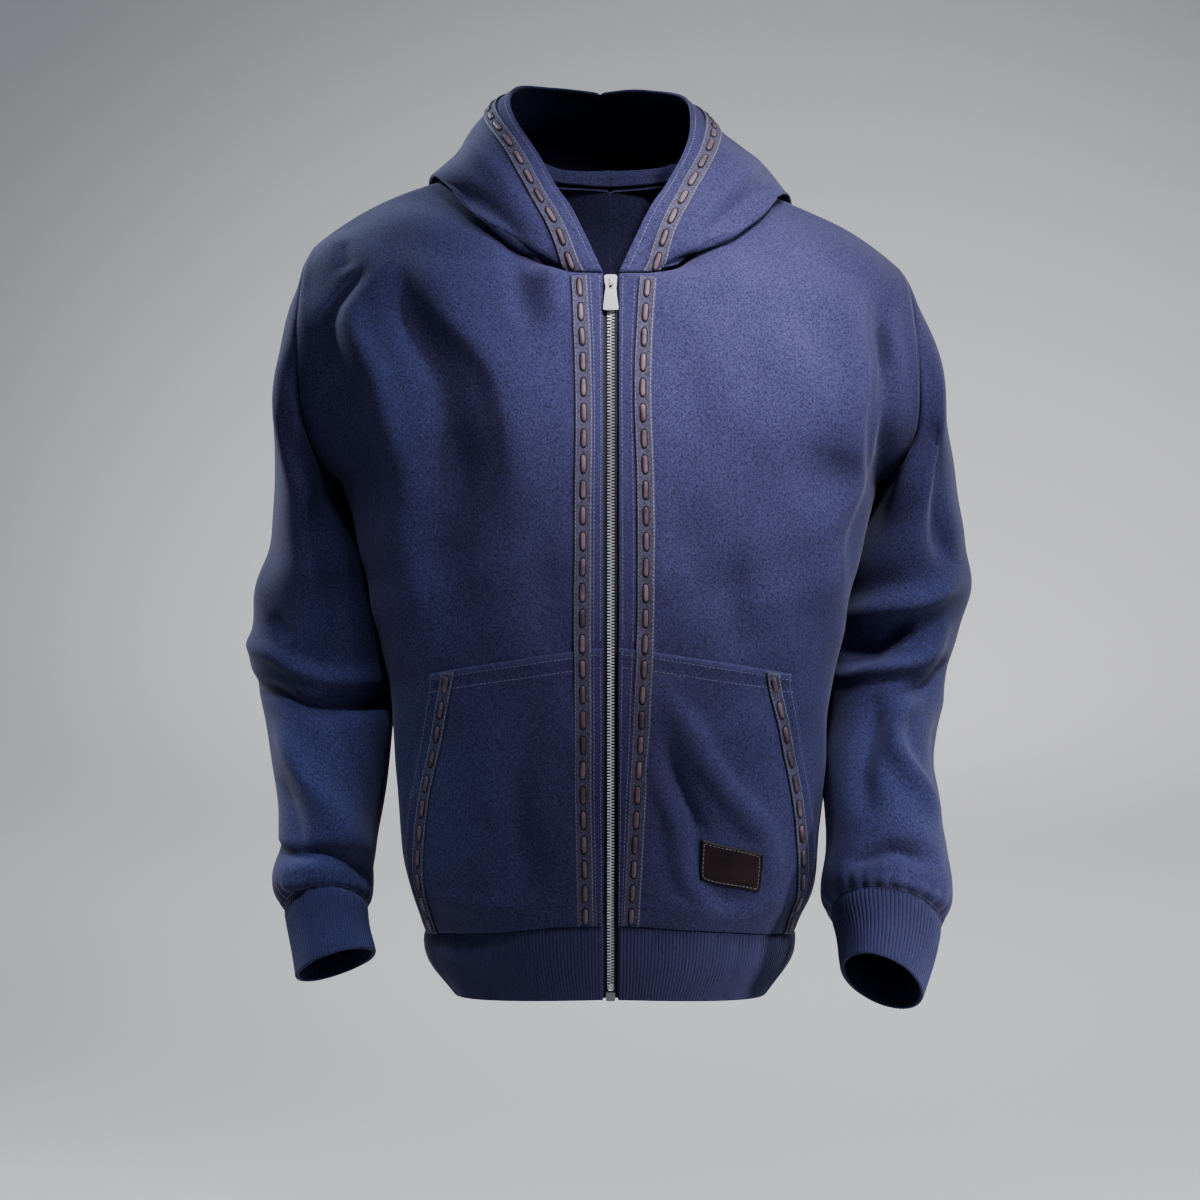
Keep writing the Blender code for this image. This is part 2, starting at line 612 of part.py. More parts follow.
# ---------------------------------------------------------------- the cloth pieces
def cloth_grids():
    """The main pieces' points and normals; the back is two halves."""
    grids = {}
    for side in SIDES:
        grids["front_" + side] = front_grid(side)
        grids["back_" + side] = back_grid(side)
        grids["hood_" + side] = hood_grid(side)
        grids["sleeve_" + side] = sleeve_rings(side)
        grids["cuff_" + side] = cuff_rings(side)
    grids["hem_rib"] = np.concatenate([hem_front_grid("right"), hem_back_grid()[:, 1:-1],
                                       hem_front_grid("left")[:, ::-1]], axis=1)
    normals = {}
    for name, grid in grids.items():
        centre = grid.mean(axis=1, keepdims=True)
        if name.startswith(("front", "back")):
            centre = np.array([0.0, 0.0, -0.30])
        if name.startswith("hood"):
            centre = np.array([0.0, 0.0, -0.05])
        normals[name] = outward(grid_normals(grid, is_ring(name)), grid, centre)
    share_seam_normals([(grids[name], normals[name]) for name in grids if "hood" not in name])
    for side in SIDES:
        level_base(normals["hood_" + side])
    share_seam_normals([(grids["hood_" + side], normals["hood_" + side]) for side in SIDES])
    return grids, normals


def is_ring(name):
    return name.startswith(("sleeve", "cuff"))


def build_cloth(grids, normals):
    """Fronts, back, sleeves, cuffs, hem and hood."""
    walls = {"hem": RIB, "cuff": RIB, "hood": HOOD_WALL}
    for name, grid in grids.items():
        kind = name.split("_")[0]
        if kind == "back":
            continue
        points = pull_in(grid, SEAM_GAP, is_ring(name))
        wall_object(name, [(points, normals[name])], walls.get(kind, FLEECE),
                    "rib" if kind in ("hem", "cuff") else "fleece", ring=is_ring(name))
    joined = int(np.sum(np.array(LOW_LEVELS + HIGH_LEVELS) < NECK_BACK))
    halves = []
    for side in SIDES:
        name = "back_" + side
        halves.append((pull_in(grids[name], SEAM_GAP, joined=joined + 1), normals[name]))
    wall_object("back", halves, FLEECE, "fleece")


def build_pockets_and_bands(grids, normals):
    """Patch pockets, and the lace bands on the fronts, the pockets and the hood."""
    levels = np.array(LOW_LEVELS + HIGH_LEVELS)
    pocket_columns = slice(0, 3 + POCKET_CELLS + 2)
    band_columns = slice(2 + POCKET_CELLS, 4 + POCKET_CELLS)
    pocket_rows = slice(0, POCKET_ROWS)
    front_rows = slice(0, int(np.sum(levels <= NECK_FRONT)))
    on_panel = FLEECE / 2 + LAYER_GAP
    on_pocket = on_panel + FLEECE + LAYER_GAP
    rise = (1.0 - smoothstep(levels[front_rows], POCKET_TOP, 0.30)) * (FLEECE + LAYER_GAP)
    for side in SIDES:
        grid = grids["front_" + side]
        normal = normals["front_" + side]
        hood = grids["hood_" + side]
        pieces = [
            ("pocket_", grid[pocket_rows, pocket_columns], normal[pocket_rows, pocket_columns],
             FLEECE, "fleece", on_panel + FLEECE / 2),
            ("pocket_trim_", grid[pocket_rows, band_columns], normal[pocket_rows, band_columns],
             BAND_WALL, "band", on_pocket + BAND_WALL / 2),
            ("front_trim_", grid[front_rows, 1:3], normal[front_rows, 1:3],
             BAND_WALL, "band", (on_panel + BAND_WALL / 2 + rise)[:, None, None]),
            ("hood_trim_", hood[:, 1:3], normals["hood_" + side][:, 1:3],
             BAND_WALL, "band", HOOD_WALL / 2 + LAYER_GAP + BAND_WALL / 2),
        ]
        for name, points, directions, wall, material, lift in pieces:
            wall_object(name + side, [(pull_in(points, EDGE_INSET), directions)], wall,
                        material, lift=lift)


def surface_patch(side, distance, level, size, turn, cells=(5, 4)):
    """A small turned rectangle of points on a front, with its normals."""
    across = np.linspace(-size[0] / 2, size[0] / 2, cells[0])
    upward = np.linspace(-size[1] / 2, size[1] / 2, cells[1])
    step = 0.01
    metres_per_level = length(np.array([body_row("front", level + k * step)[0]
                                        for k in (0, 1)])) / step
    grid = np.zeros((len(upward), len(across), 3))
    for i, v in enumerate(upward):
        for j, u in enumerate(across):
            du = u * math.cos(turn) + v * math.sin(turn)
            dv = v * math.cos(turn) - u * math.sin(turn)
            row = body_row("front", level + dv / metres_per_level)
            grid[i, j] = along(row, [distance + du])[0]
    grid = lean(mirrored(grid, side))
    return grid, outward(grid_normals(grid), grid, np.array([0.0, 0.0, -0.30]))


def build_leather_patch():
    grid, normal = surface_patch("left", *PATCH_PLACE, PATCH_SIZE, PATCH_TURN)
    lift = FLEECE / 2 + LAYER_GAP + FLEECE + 1.6 * LAYER_GAP + PATCH_WALL / 2
    wall_object("leather_patch", [(grid, normal)], PATCH_WALL, "leather", lift=lift)


# ---------------------------------------------------------------- the zip
ZIP_LEVELS = [v for v in LOW_LEVELS + HIGH_LEVELS if v <= NECK_FRONT]
SLIDER_SIZE = (0.0108, 0.0135)   # width, height
PLATE = 0.0014
REAR_PLATE = 0.0012
CHANNEL = 0.0032                 # between the tape and the slider's front plate
POST_WIDTHS = (0.0016, 0.0024)   # at its foot, at its top
CHAIN_WALL = 0.0022
BRIDGE_WIDTH = 0.0018
BRIDGE_BAR = 0.0011
BRIDGE_REACH = 0.0038            # half its height
EYE_DEPTH = 0.0024
PULL_LENGTH = 0.0250
PULL_WIDTHS = (0.0130, 0.0075)   # at its foot, at its top
PULL_WALL = 0.0013
BAR = 0.0014                     # the tab's own crossbar
WINDOW_WIDTH = 0.0032
WINDOW_LENGTH = 0.0062
BOX_SIZE = (0.0078, 0.0085)
BOX_DEPTH = 0.0032


def zip_line():
    """The middle of the zip from the hem's lower edge to the neck seam: rows of (y, z)."""
    hem = [(row[0], row[1]) for row in HEM_FRONT[::-1]]
    body = [tuple(centre_end("front", level)[1:]) for level in ZIP_LEVELS]
    return np.array(hem + body)


def zip_point(z):
    """(y, slope) of the zip line at a height."""
    line = zip_line()
    y = np.interp(z, line[:, 1], line[:, 0])
    ahead = np.interp(z + 0.004, line[:, 1], line[:, 0])
    behind = np.interp(z - 0.004, line[:, 1], line[:, 0])
    return y, (ahead - behind) / 0.008


def strip(name, side, near, far, heights, depth, wall, material):
    """A strip that follows the zip between two distances from its middle."""
    grid = np.zeros((len(heights), 2, 3))
    normals = np.zeros_like(grid)
    for i, z in enumerate(heights):
        y, slope = zip_point(z)
        facing = np.array([0.0, -1.0, slope]) / math.hypot(1.0, slope)
        for j, x in enumerate((near, far)):
            grid[i, j] = (SIDES[side] * x, y, z)
            normals[i, j] = facing
    wall_object(name, [(grid, normals)], wall, material, lift=-depth, smooth=False)


def slab(name, outline, near_y, far_y, material):
    """A plate of the given (x, z) outline between two depths."""
    mesh = bmesh.new()
    front = [mesh.verts.new((x, near_y, z)) for x, z in outline]
    back = [mesh.verts.new((x, far_y, z)) for x, z in outline]
    mesh.faces.new(front)
    mesh.faces.new(back[::-1])
    for k in range(len(outline)):
        n = (k + 1) % len(outline)
        mesh.faces.new([front[n], front[k], back[k], back[n]])
    return finish_mesh(name, mesh, material, smooth=False)


def put_on_zip(thing, height):
    """Lays a thing made flat against the slope of the zip at a height."""
    y, slope = zip_point(height)
    thing.location = (0.0, y, height)
    thing.rotation_euler = (-math.atan(slope), 0.0, 0.0)


def rounded_outline(widths, heights, corner=0.0020, steps=3):
    """A four-sided outline with rounded corners; widths at its low and high end."""
    low, high = heights
    half = (widths[0] / 2, widths[1] / 2)
    centres = [(half[1] - corner, high - corner, 0.0), (corner - half[1], high - corner, 90.0),
               (corner - half[0], low + corner, 180.0), (half[0] - corner, low + corner, 270.0)]
    points = []
    for x, z, start in centres:
        for k in range(steps + 1):
            angle = math.radians(start + 90.0 * k / steps)
            points.append((x + corner * math.cos(angle), z + corner * math.sin(angle)))
    return points


def combine(target, other, operation):
    """Joins or cuts by a Boolean, and drops the helper."""
    modifier = target.modifiers.new(operation.lower(), "BOOLEAN")
    modifier.operation = operation
    modifier.object = other
    modifier.solver = "EXACT"
    other.hide_render = True
    other.display_type = "WIRE"
    other.name = target.name + "_helper"


def build_zip():
    top = centre_end("front", NECK_FRONT)[2]
    bottom = HEM_FRONT[-1][1]
    line = zip_line()
    slider_height = top - 0.0015 - SLIDER_SIZE[1] / 2
    box_height = bottom + BOX_SIZE[1] / 2 - 0.0005
    box_top = box_height + BOX_SIZE[1] / 2
    chain_top = slider_height - SLIDER_SIZE[1] / 2 - 0.0008
    steps = [z for z in line[:, 1] if box_top + 0.010 < z < chain_top - 0.010]
    tape_steps = [z for z in line[:, 1] if bottom + 0.002 < z < top - 0.002]
    tape_heights = [bottom + 0.001] + tape_steps + [top - 0.0015]
    chain_heights = [box_top + 0.0008] + steps + [chain_top]
    tape_depth = RIB / 2 + LAYER_GAP + TAPE_WALL / 2
    chain_depth = tape_depth - TAPE_WALL / 2 - SEAM_GAP - CHAIN_WALL / 2
    for side in SIDES:
        strip("zip_tape_" + side, side, 0.0016, TAPE_REACH, tape_heights, tape_depth,
              TAPE_WALL, "tape")
        strip("zip_teeth_" + side, side, SEAM_GAP / 2, TOOTH_ROW, chain_heights, chain_depth,
              CHAIN_WALL, "metal")
    build_slider(slider_height, tape_depth)
    build_box(box_height, tape_depth)


def build_box(height, tape_depth):
    """The box that holds the two ends of the chain."""
    back = tape_depth - TAPE_WALL / 2 - LAYER_GAP
    outline = rounded_outline((BOX_SIZE[0], BOX_SIZE[0]), (-BOX_SIZE[1] / 2, BOX_SIZE[1] / 2),
                              0.0010)
    put_on_zip(slab("zip_box", outline, back - BOX_DEPTH, back, "metal"), height)


def build_slider(height, tape_depth):
    """Front and back plates, the post that joins them and the bridge of the pull tab."""
    half = SLIDER_SIZE[1] / 2
    plate_back = tape_depth - TAPE_WALL / 2 - CHANNEL
    plate_front = plate_back - PLATE
    rear = tape_depth + TAPE_WALL / 2 + LAYER_GAP
    outline = rounded_outline((SLIDER_SIZE[0] * 0.86, SLIDER_SIZE[0]), (-half, half), 0.0022)
    slider = slab("zip_slider", outline, plate_front, plate_back, "metal")
    rear_plate = slab("rear_plate", outline, rear, rear + REAR_PLATE, "metal")
    post_outline = rounded_outline(POST_WIDTHS, (half - 0.0060, half - 0.0006), 0.0005)
    post = slab("post", post_outline, plate_back - PLATE / 2, rear + REAR_PLATE / 2, "metal")
    pivot = plate_front - EYE_DEPTH / 2
    bridge = block("bridge", (BRIDGE_WIDTH / 2, pivot - EYE_DEPTH / 2 - BRIDGE_BAR, BRIDGE_REACH),
                   plate_back - PLATE / 2)
    eye = block("eye", (BRIDGE_WIDTH, pivot - EYE_DEPTH / 2, BRIDGE_REACH - BRIDGE_BAR),
                plate_front)
    combine(bridge, eye, "DIFFERENCE")
    for part in (bridge, post, rear_plate):
        combine(slider, part, "UNION")
    put_on_zip(slider, height)
    for helper in (rear_plate, post, bridge, eye):
        put_on_zip(helper, height)
    build_pull(pivot, slider)


def block(name, corner, far_y):
    """A box from its front corner (half width, depth, half height) back to a depth."""
    mesh = bmesh.new()
    corners = bmesh.ops.create_cube(mesh, size=2.0)["verts"]
    for vertex in corners:
        vertex.co.x *= corner[0]
        vertex.co.z *= corner[2]
        vertex.co.y = corner[1] if vertex.co.y < 0 else far_y
    return finish_mesh(name, mesh, "metal", smooth=False)


def build_pull(pivot, slider):
    """The pull tab, resting on the chain; its bar turns in the slider's bridge."""
    shape = rounded_outline((PULL_WIDTHS[0], PULL_WIDTHS[1]), (-PULL_LENGTH, BAR / 2), 0.0016)
    tab = slab("zip_pull", shape, -PULL_WALL / 2, PULL_WALL / 2, "metal")
    window = block("window", (WINDOW_WIDTH / 2, -0.01, WINDOW_LENGTH / 2), 0.01)
    window.location.z = -BAR / 2 - WINDOW_LENGTH / 2
    window.parent = tab
    combine(tab, window, "DIFFERENCE")
    slope = slider.rotation_euler.x
    tab.location = (0.0, slider.location.y + pivot * math.cos(slope),
                    slider.location.z + pivot * math.sin(slope))
    tab.rotation_euler = (slope, 0.0, 0.0)


def clear_scene():
    for thing in list(bpy.data.objects):
        bpy.data.objects.remove(thing, do_unlink=True)


def build_hoodie():
    clear_scene()
    grids, normals = cloth_grids()
    build_cloth(grids, normals)
    build_pockets_and_bands(grids, normals)
    build_leather_patch()
    build_zip()


build_hoodie()
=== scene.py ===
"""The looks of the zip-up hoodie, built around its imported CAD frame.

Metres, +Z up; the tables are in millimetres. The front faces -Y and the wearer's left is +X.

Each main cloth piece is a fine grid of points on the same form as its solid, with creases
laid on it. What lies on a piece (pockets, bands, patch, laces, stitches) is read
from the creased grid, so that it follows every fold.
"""
import math

import bmesh
import bpy
import numpy as np
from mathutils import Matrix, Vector


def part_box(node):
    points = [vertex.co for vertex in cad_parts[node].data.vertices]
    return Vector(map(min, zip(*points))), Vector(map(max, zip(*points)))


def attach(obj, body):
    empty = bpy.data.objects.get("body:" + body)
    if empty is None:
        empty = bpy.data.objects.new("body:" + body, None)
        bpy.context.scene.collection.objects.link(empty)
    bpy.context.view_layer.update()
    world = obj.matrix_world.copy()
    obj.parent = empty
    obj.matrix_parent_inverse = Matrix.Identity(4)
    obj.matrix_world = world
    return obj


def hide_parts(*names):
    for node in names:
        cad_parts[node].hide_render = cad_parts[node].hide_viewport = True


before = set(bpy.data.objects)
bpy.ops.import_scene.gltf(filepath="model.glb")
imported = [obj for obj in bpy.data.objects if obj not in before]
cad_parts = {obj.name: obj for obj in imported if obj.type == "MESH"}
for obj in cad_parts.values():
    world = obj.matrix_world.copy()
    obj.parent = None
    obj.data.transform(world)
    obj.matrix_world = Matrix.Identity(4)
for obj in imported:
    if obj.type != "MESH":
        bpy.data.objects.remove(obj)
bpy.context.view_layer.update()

# ---- driving dimensions
FLEECE = 0.0020            # wall of the brushed fleece
RIB = 0.0028               # wall of the doubled rib knit
HOOD_WALL = 0.0024
BAND_WALL = 0.0012         # the narrow lace bands
PATCH_WALL = 0.0014
SEAM_GAP = 0.0003          # between two pieces at a seam
LAYER_GAP = 0.0005         # between a panel and what lies on it
NECK_GAP = 0.0009          # from the panels' upper edge to the hood's lower one
NECK_LIFT = 0.0026         # the hood's lower edge stands on the panels, not between them

ZIP_OPENING = 0.0065       # half the slot between the two front edges
BAND_WIDTH = 0.0145
POCKET_BAND_WIDTH = 0.0120
POCKET_BAND_INSET = 0.0115  # from the pocket's open edge to its band
HOOD_BAND_MIDDLE = 0.0215  # from the hood's open edge to the middle of its band
PATCH_SIZE = (0.053, 0.035)
PATCH_TURN = math.radians(7.0)
PATCH_INSET = 0.0028       # from the patch's edge to its groove and stitches
PATCH_PLACE = (0.095, 0.068)  # (distance from the front edge, level)
CUFF_RIBS = 78
HEM_RIBS = 300

# A level is 0 at the hem seam and 1 at the shoulder.
ARMPIT = 0.40
NECK_FRONT = 0.70
NECK_BACK = 0.82
LOW_LEVELS = [0.0, 0.04, 0.08, 0.12, 0.16, 0.20, 0.24, 0.30, 0.36, ARMPIT]
HIGH_LEVELS = [0.475, 0.55, 0.625, NECK_FRONT, 0.76, NECK_BACK, 0.88, 0.94, 1.0]
ARM_LEVELS = [ARMPIT] + HIGH_LEVELS
# The pocket's top edge, which falls from the zip to its outer corner by a change of level.
POCKET_TOP = 0.24
POCKET_TOP_FALL = (0.007, -0.009)
POCKET_CELLS = 4           # between the front band and the pocket's band
SIDE_CELLS = 4             # between the pocket and the side seam
FRONT_MARKS = 13           # column marks of a front, as front_columns gives them
HOOD_CELLS = 10

SIDES = {"right": -1.0, "left": 1.0}
NECK = {"front": NECK_FRONT, "back": NECK_BACK}
MIDDLE = {"front": ZIP_OPENING, "back": 0.0}
SEAM_CALM = {"front": 0.012, "back": 0.022}   # creases fade this near the armhole

# The left shoulder hangs a little lower and closer in than the right one, and the upright
# part of the hood leans to the right.
SHOULDER_DROP = 0.019
SHOULDER_PULL = 0.006
HOOD_SHIFT = -0.009
HOOD_DROP = 0.007


# ---- section tables
def metres(rows, first=1):
    """A table in metres from one in millimetres, whose first column may be a level."""
    table = np.array(rows, dtype=float)
    table[:, first:] /= 1000.0
    return table


# Centre lines: (level, y, z).
CENTRE = {
    "front": metres([
        (0, -112, -612), (0.05, -121, -572), (0.1, -126, -520), (0.2, -131, -420),
        (0.3, -134, -320), (ARMPIT, -131, -225), (0.5, -123, -172), (0.6, -109, -117),
        (NECK_FRONT, -90, -64),
    ]),
    "back": metres([
        (0, 116, -645), (0.05, 127, -600), (0.1, 130, -545), (0.2, 124, -435), (0.3, 126, -330),
        (ARMPIT, 134, -232), (0.5, 133, -175), (0.6, 126, -118), (0.7, 112, -66),
        (NECK_BACK, 82, 6),
    ]),
}
# Neck seam from its centre to the shoulder: (level, x, y, z).
NECK_SEAM = {
    "front": metres([
        (NECK_FRONT, 6.5, -90, -64), (0.76, 30, -86.5, -64.5), (NECK_BACK, 56, -76, -59),
        (0.88, 76.5, -57, -40), (0.94, 90.5, -31, -11), (1, 97.5, 0, 22),
    ]),
    "back": metres([
        (NECK_BACK, 0, 82, 6), (0.88, 40, 74, 9), (0.94, 74, 46, 15), (1, 97.5, 0, 22),
    ]),
}
# Side seam from the hem to the armpit: (level, x, y, z).
SIDE_SEAM = metres([
    (0, 161, 0, -637), (0.05, 168, 2, -600), (0.1, 170, 6, -548), (0.2, 174, 12, -440),
    (0.3, 186, 12, -345), (ARMPIT, 226, 6, -250),
])
# Armhole from the armpit to the shoulder: (level, x, y, z).
ARMHOLE = {
    "front": metres([
        (ARMPIT, 226, 6, -250), (0.475, 245, -44, -229), (0.55, 259, -70, -193),
        (0.625, 264, -78, -152), (NECK_FRONT, 265.5, -72, -116), (0.8, 264, -54, -83),
        (0.9, 261.5, -30, -58), (1, 258, 4, -45),
    ]),
    "back": metres([
        (ARMPIT, 226, 6, -250), (0.475, 244, 50, -228), (0.55, 258, 76, -190),
        (0.625, 263, 84, -148), (NECK_FRONT, 265, 79, -112), (0.8, 264, 60, -80),
        (0.9, 261.5, 34, -56), (1, 258, 4, -45),
    ]),
}
# Fullness of each row, as the two inner handles of its curve:
# (level, near_x, near_y, near_z, far_x, far_y, far_z).
FULLNESS = {
    "front": metres([
        (0, 100, -116, -614, 170, -86, -630), (0.05, 112, -127, -574, 194, -98, -592),
        (0.1, 115, -132, -522, 208, -104, -540), (0.2, 122, -139, -422, 222, -108, -436),
        (0.3, 136, -145, -322, 250, -110, -338), (ARMPIT, 145, -146, -226, 248, -108, -243),
        (0.5, 138, -142, -176, 224, -128, -196), (0.6, 126, -130, -124, 222, -124, -148),
        (NECK_FRONT, 116, -113, -76, 212, -106, -98), (0.8, 118, -98, -48, 206, -86, -58),
        (0.9, 130, -62, -10, 205, -50, -19), (1, 140, 2, 18, 205, 3, 3),
    ]),
    "back": metres([
        (0, 100, 120, -645, 168, 88, -641), (0.05, 112, 132, -600, 182, 100, -600),
        (0.1, 115, 136, -545, 188, 106, -546), (0.2, 122, 132, -436, 190, 108, -440),
        (0.3, 135, 136, -331, 205, 110, -342), (ARMPIT, 145, 144, -233, 236, 108, -244),
        (0.5, 140, 144, -176, 222, 132, -190), (0.6, 130, 138, -120, 220, 130, -140),
        (0.7, 122, 124, -70, 212, 112, -92), (NECK_BACK, 118, 94, -8, 206, 82, -40),
        (0.9, 128, 62, 6, 205, 52, -14), (1, 140, 2, 18, 205, 3, 3),
    ]),
}
# Hem band, below the hem seam. One row for each ring, as the controls of its front and back
# halves: centre (y, z), near handle, far handle, side.
HEM = {
    "front": metres([
        (-109, -647, 98, -113, -648, 163, -83, -656, 157, 0, -663),
        (-99, -680, 86, -103, -681, 145, -76, -687, 133, 0, -692),
    ], 0),
    "back": metres([
        (114, -680, 98, 117, -680, 162, 85, -670, 157, 0, -663),
        (104, -711, 86, 107, -711, 143, 78, -704, 133, 0, -692),
    ], 0),
}
# Sleeve rings below the armhole. The last column moves the front and back of the ring out:
# (outer_x, outer_z, inner_x, inner_z, middle_y, half_depth, front_lift, spread).
SLEEVE = {
    "right": metres([
        (276, -112, 226.2, -268, 6, 85, 0, 24), (283, -172, 214, -295, 8, 89, 0, 21),
        (289, -238, 202.5, -331, 12, 88, 0, 13), (295.5, -300, 196, -362, 16, 84, 2, 6),
        (310, -360, 191, -394, 18, 78, 6, 0), (315, -400, 190, -422, 16, 73, 10, 0),
        (303, -440, 191, -450, 8, 69, 14, 0), (296, -480, 193, -484, -6, 64, 18, 0),
        (288, -525, 198, -524, -24, 58, 22, 0), (287, -565, 204, -560, -42, 53, 24, 0),
        (289, -592, 205, -588, -52, 50, 26, 0), (279, -610, 210, -606, -58, 42, 26, 0),
    ], 0),
    "left": metres([
        (275, -120, 226.2, -268, 6, 85, 0, 24), (286, -182, 214, -296, 8, 89, 0, 21),
        (299, -245, 202.5, -333, 12, 88, 0, 13), (309.5, -300, 196, -362, 16, 84, 4, 6),
        (313, -340, 190.5, -388, 16, 78, 10, 0), (303, -378, 189, -412, 10, 73, 14, 0),
        (290, -420, 187, -440, -2, 68, 20, 0), (284, -465, 185, -474, -24, 63, 26, 0),
        (280, -515, 184, -514, -58, 57, 32, 0), (286, -560, 184, -554, -86, 53, 36, 0),
        (288, -592, 180, -584, -104, 50, 36, 0), (278, -614, 186, -600, -112, 43, 34, 0),
    ], 0),
}
EVEN_RING = 5              # the rings' points are evenly spaced from this ring on
# Cuff rings below the sleeve's last one, in the same columns.
CUFF = {
    "right": metres([
        (274, -636, 208, -624, -68, 36, 20, 0), (268.5, -664, 202.5, -642, -82, 32, 16, 0),
    ], 0),
    "left": metres([
        (272, -640, 192, -620, -124, 35, 29, 0), (261, -667, 195, -642, -141, 28, 26, 0),
    ], 0),
}
# Hood sections, from the shoulder side of the front neck to the centre back. Each runs from
# the open edge over the outside, round the fold that lies on the shoulders and up to the
# neck seam: (edge, band, outer, lower, fold, inner, stand), each (x, y, z).
HOOD_SECTIONS = np.array([
    [(31.5, -68, -12), (46, -77, -24), (59, -81, -33), (70, -80, -38),
     (83, -73, -34), (84, -65, -27), (78, -59, -29)],
    [(49, -46, 14), (65, -59, 4), (84, -67, -6), (98, -68, -14),
     (118, -58, -12), (110, -46, 0), (93, -34, 4)],
    [(74, -4, 64), (92, -16, 54), (113, -22, 40), (133, -22, 26),
     (150, -8, 19), (128, -2, 31), (101, -1, 36)],
    [(74, 45, 94), (92, 49, 80), (118, 60, 52), (143, 72, 18),
     (152, 82, -18), (125, 66, 14), (83, 51, 30)],
    [(42, 80, 96), (55, 99, 84), (80, 135, 40), (101, 160, -40),
     (96, 155, -128), (76, 124, -40), (46, 83, 24)],
    [(0, 92, 92), (0, 112, 82), (0, 158, 30), (0, 186, -60),
     (0, 166, -170), (0, 142, -80), (0, 94, 18)],
]) / 1000.0
# Middle of the front band from the front edge: (level, right, left).
FRONT_BAND = metres([
    (0, 14.5, 10.5), (0.1, 16.5, 15), (0.22, 17.2, 21.2), (0.6, 18, 21.6),
    (NECK_FRONT, 21.5, 25.5),
])
# The pocket's open edge from the front edge: (level, distance).
POCKET_EDGE = metres([
    (0, 178), (0.06, 182), (0.12, 174), (0.18, 160), (0.24, 147), (0.36, 150), (ARMPIT, 155),
    (1, 100),
])


# ---- curves and surfaces
def smoothstep(value, low, high):
    t = np.clip((value - low) / (high - low), 0.0, 1.0)
    return t * t * (3.0 - 2.0 * t)


def unit(vectors):
    return vectors / np.maximum(np.linalg.norm(vectors, axis=-1, keepdims=True), 1e-12)


def hermite(start, end, leave, arrive, t):
    return ((2 * t ** 3 - 3 * t ** 2 + 1) * start + (t ** 3 - 2 * t ** 2 + t) * leave
            + (3 * t ** 2 - 2 * t ** 3) * end + (t ** 3 - t ** 2) * arrive)


def smooth_table(table, level):
    """Reads a table at a level along a smooth curve through its rows."""
    rows = np.asarray(table, dtype=float)
    at = rows[:, 0]
    values = rows[:, 1:]
    slopes = np.gradient(values, at, axis=0)
    i = int(np.clip(np.searchsorted(at, level) - 1, 0, len(at) - 2))
    span = at[i + 1] - at[i]
    t = np.clip((level - at[i]) / span, 0.0, 1.0)
    return hermite(values[i], values[i + 1], slopes[i] * span, slopes[i + 1] * span, t)


def smooth_polyline(points, steps=8):
    """A smooth curve through the points, sampled finely."""
    table = [(k, *point) for k, point in enumerate(points)]
    samples = np.linspace(0.0, len(points) - 1.0, steps * (len(points) - 1) + 1)
    return np.array([smooth_table(table, s) for s in samples])


def bezier(a, b, c, d, steps=48):
    """Points along one cubic curve."""
    t = np.linspace(0.0, 1.0, steps + 1)[:, None]
    a, b, c, d = (np.asarray(p, dtype=float) for p in (a, b, c, d))
    return (1 - t) ** 3 * a + 3 * t * (1 - t) ** 2 * b + 3 * t ** 2 * (1 - t) * c + t ** 3 * d


def run_of(points):
    """The distance of each point of a line from its start."""
    return np.concatenate([[0.0], np.cumsum(np.linalg.norm(np.diff(points, axis=0), axis=1))])


def length(points):
    return float(run_of(points)[-1])


def read_line(values, run, distances):
    return np.stack([np.interp(distances, run, values[:, k]) for k in range(3)], axis=-1)


def along(points, distances):
    """Points at the given distances along a line."""
    return read_line(points, run_of(points), distances)


def place_in(marks, value):
    """Fractional index of a value in a rising list of marks."""
    return np.interp(value, marks, np.arange(len(marks)))


def mirrored(points, side):
    return points * np.array([SIDES[side], 1.0, 1.0])


def lean(points):
    """Lowers the left shoulder and everything that lies on it."""
    x = points[..., 0]
    z = points[..., 2]
    out = points.copy()
    out[..., 2] -= SHOULDER_DROP * smoothstep(x, 0.04, 0.19) * smoothstep(z, -0.26, -0.08)
    out[..., 0] -= SHOULDER_PULL * smoothstep(x, 0.18, 0.26) * smoothstep(z, -0.22, -0.08)
    return out


def lean_hood(points):
    """The upright part of the hood leans to the right of the zip, and is lower on the left."""
    x = points[..., 0]
    upright = smoothstep(points[..., 2], 0.030, 0.085)
    out = points.copy()
    out[..., 0] += HOOD_SHIFT * upright
    out[..., 2] -= HOOD_DROP * smoothstep(x, 0.02, 0.08) * upright
    return out


def side_end(face, level):
    return smooth_table(SIDE_SEAM if level <= ARMPIT else ARMHOLE[face], level)


def centre_end(face, level):
    if level >= NECK[face]:
        return smooth_table(NECK_SEAM[face], level)
    return np.array([MIDDLE[face], *smooth_table(CENTRE[face], level)])


def body_row(face, level):
    """The curve of one row of a body panel, on the wearer's left."""
    handles = smooth_table(FULLNESS[face], level)
    return bezier(centre_end(face, level), handles[:3], handles[3:], side_end(face, level))


def hem_row(face, index):
    """A ring of the hem band: 0 at the hem seam, then the rows of its table."""
    if index == 0:
        return body_row(face, 0.0)
    row = HEM[face][index - 1]
    return bezier((MIDDLE[face], row[0], row[1]), row[2:5], row[5:8], row[8:11])


def band_edges(level, side, share=0.0):
    """Edges of the front band, moved by a share of the way to the hood band's place."""
    middle = smooth_table(FRONT_BAND, min(level, NECK_FRONT))[list(SIDES).index(side)]
    middle = middle + (HOOD_BAND_MIDDLE - middle) * share
    return [middle - BAND_WIDTH / 2, middle + BAND_WIDTH / 2]


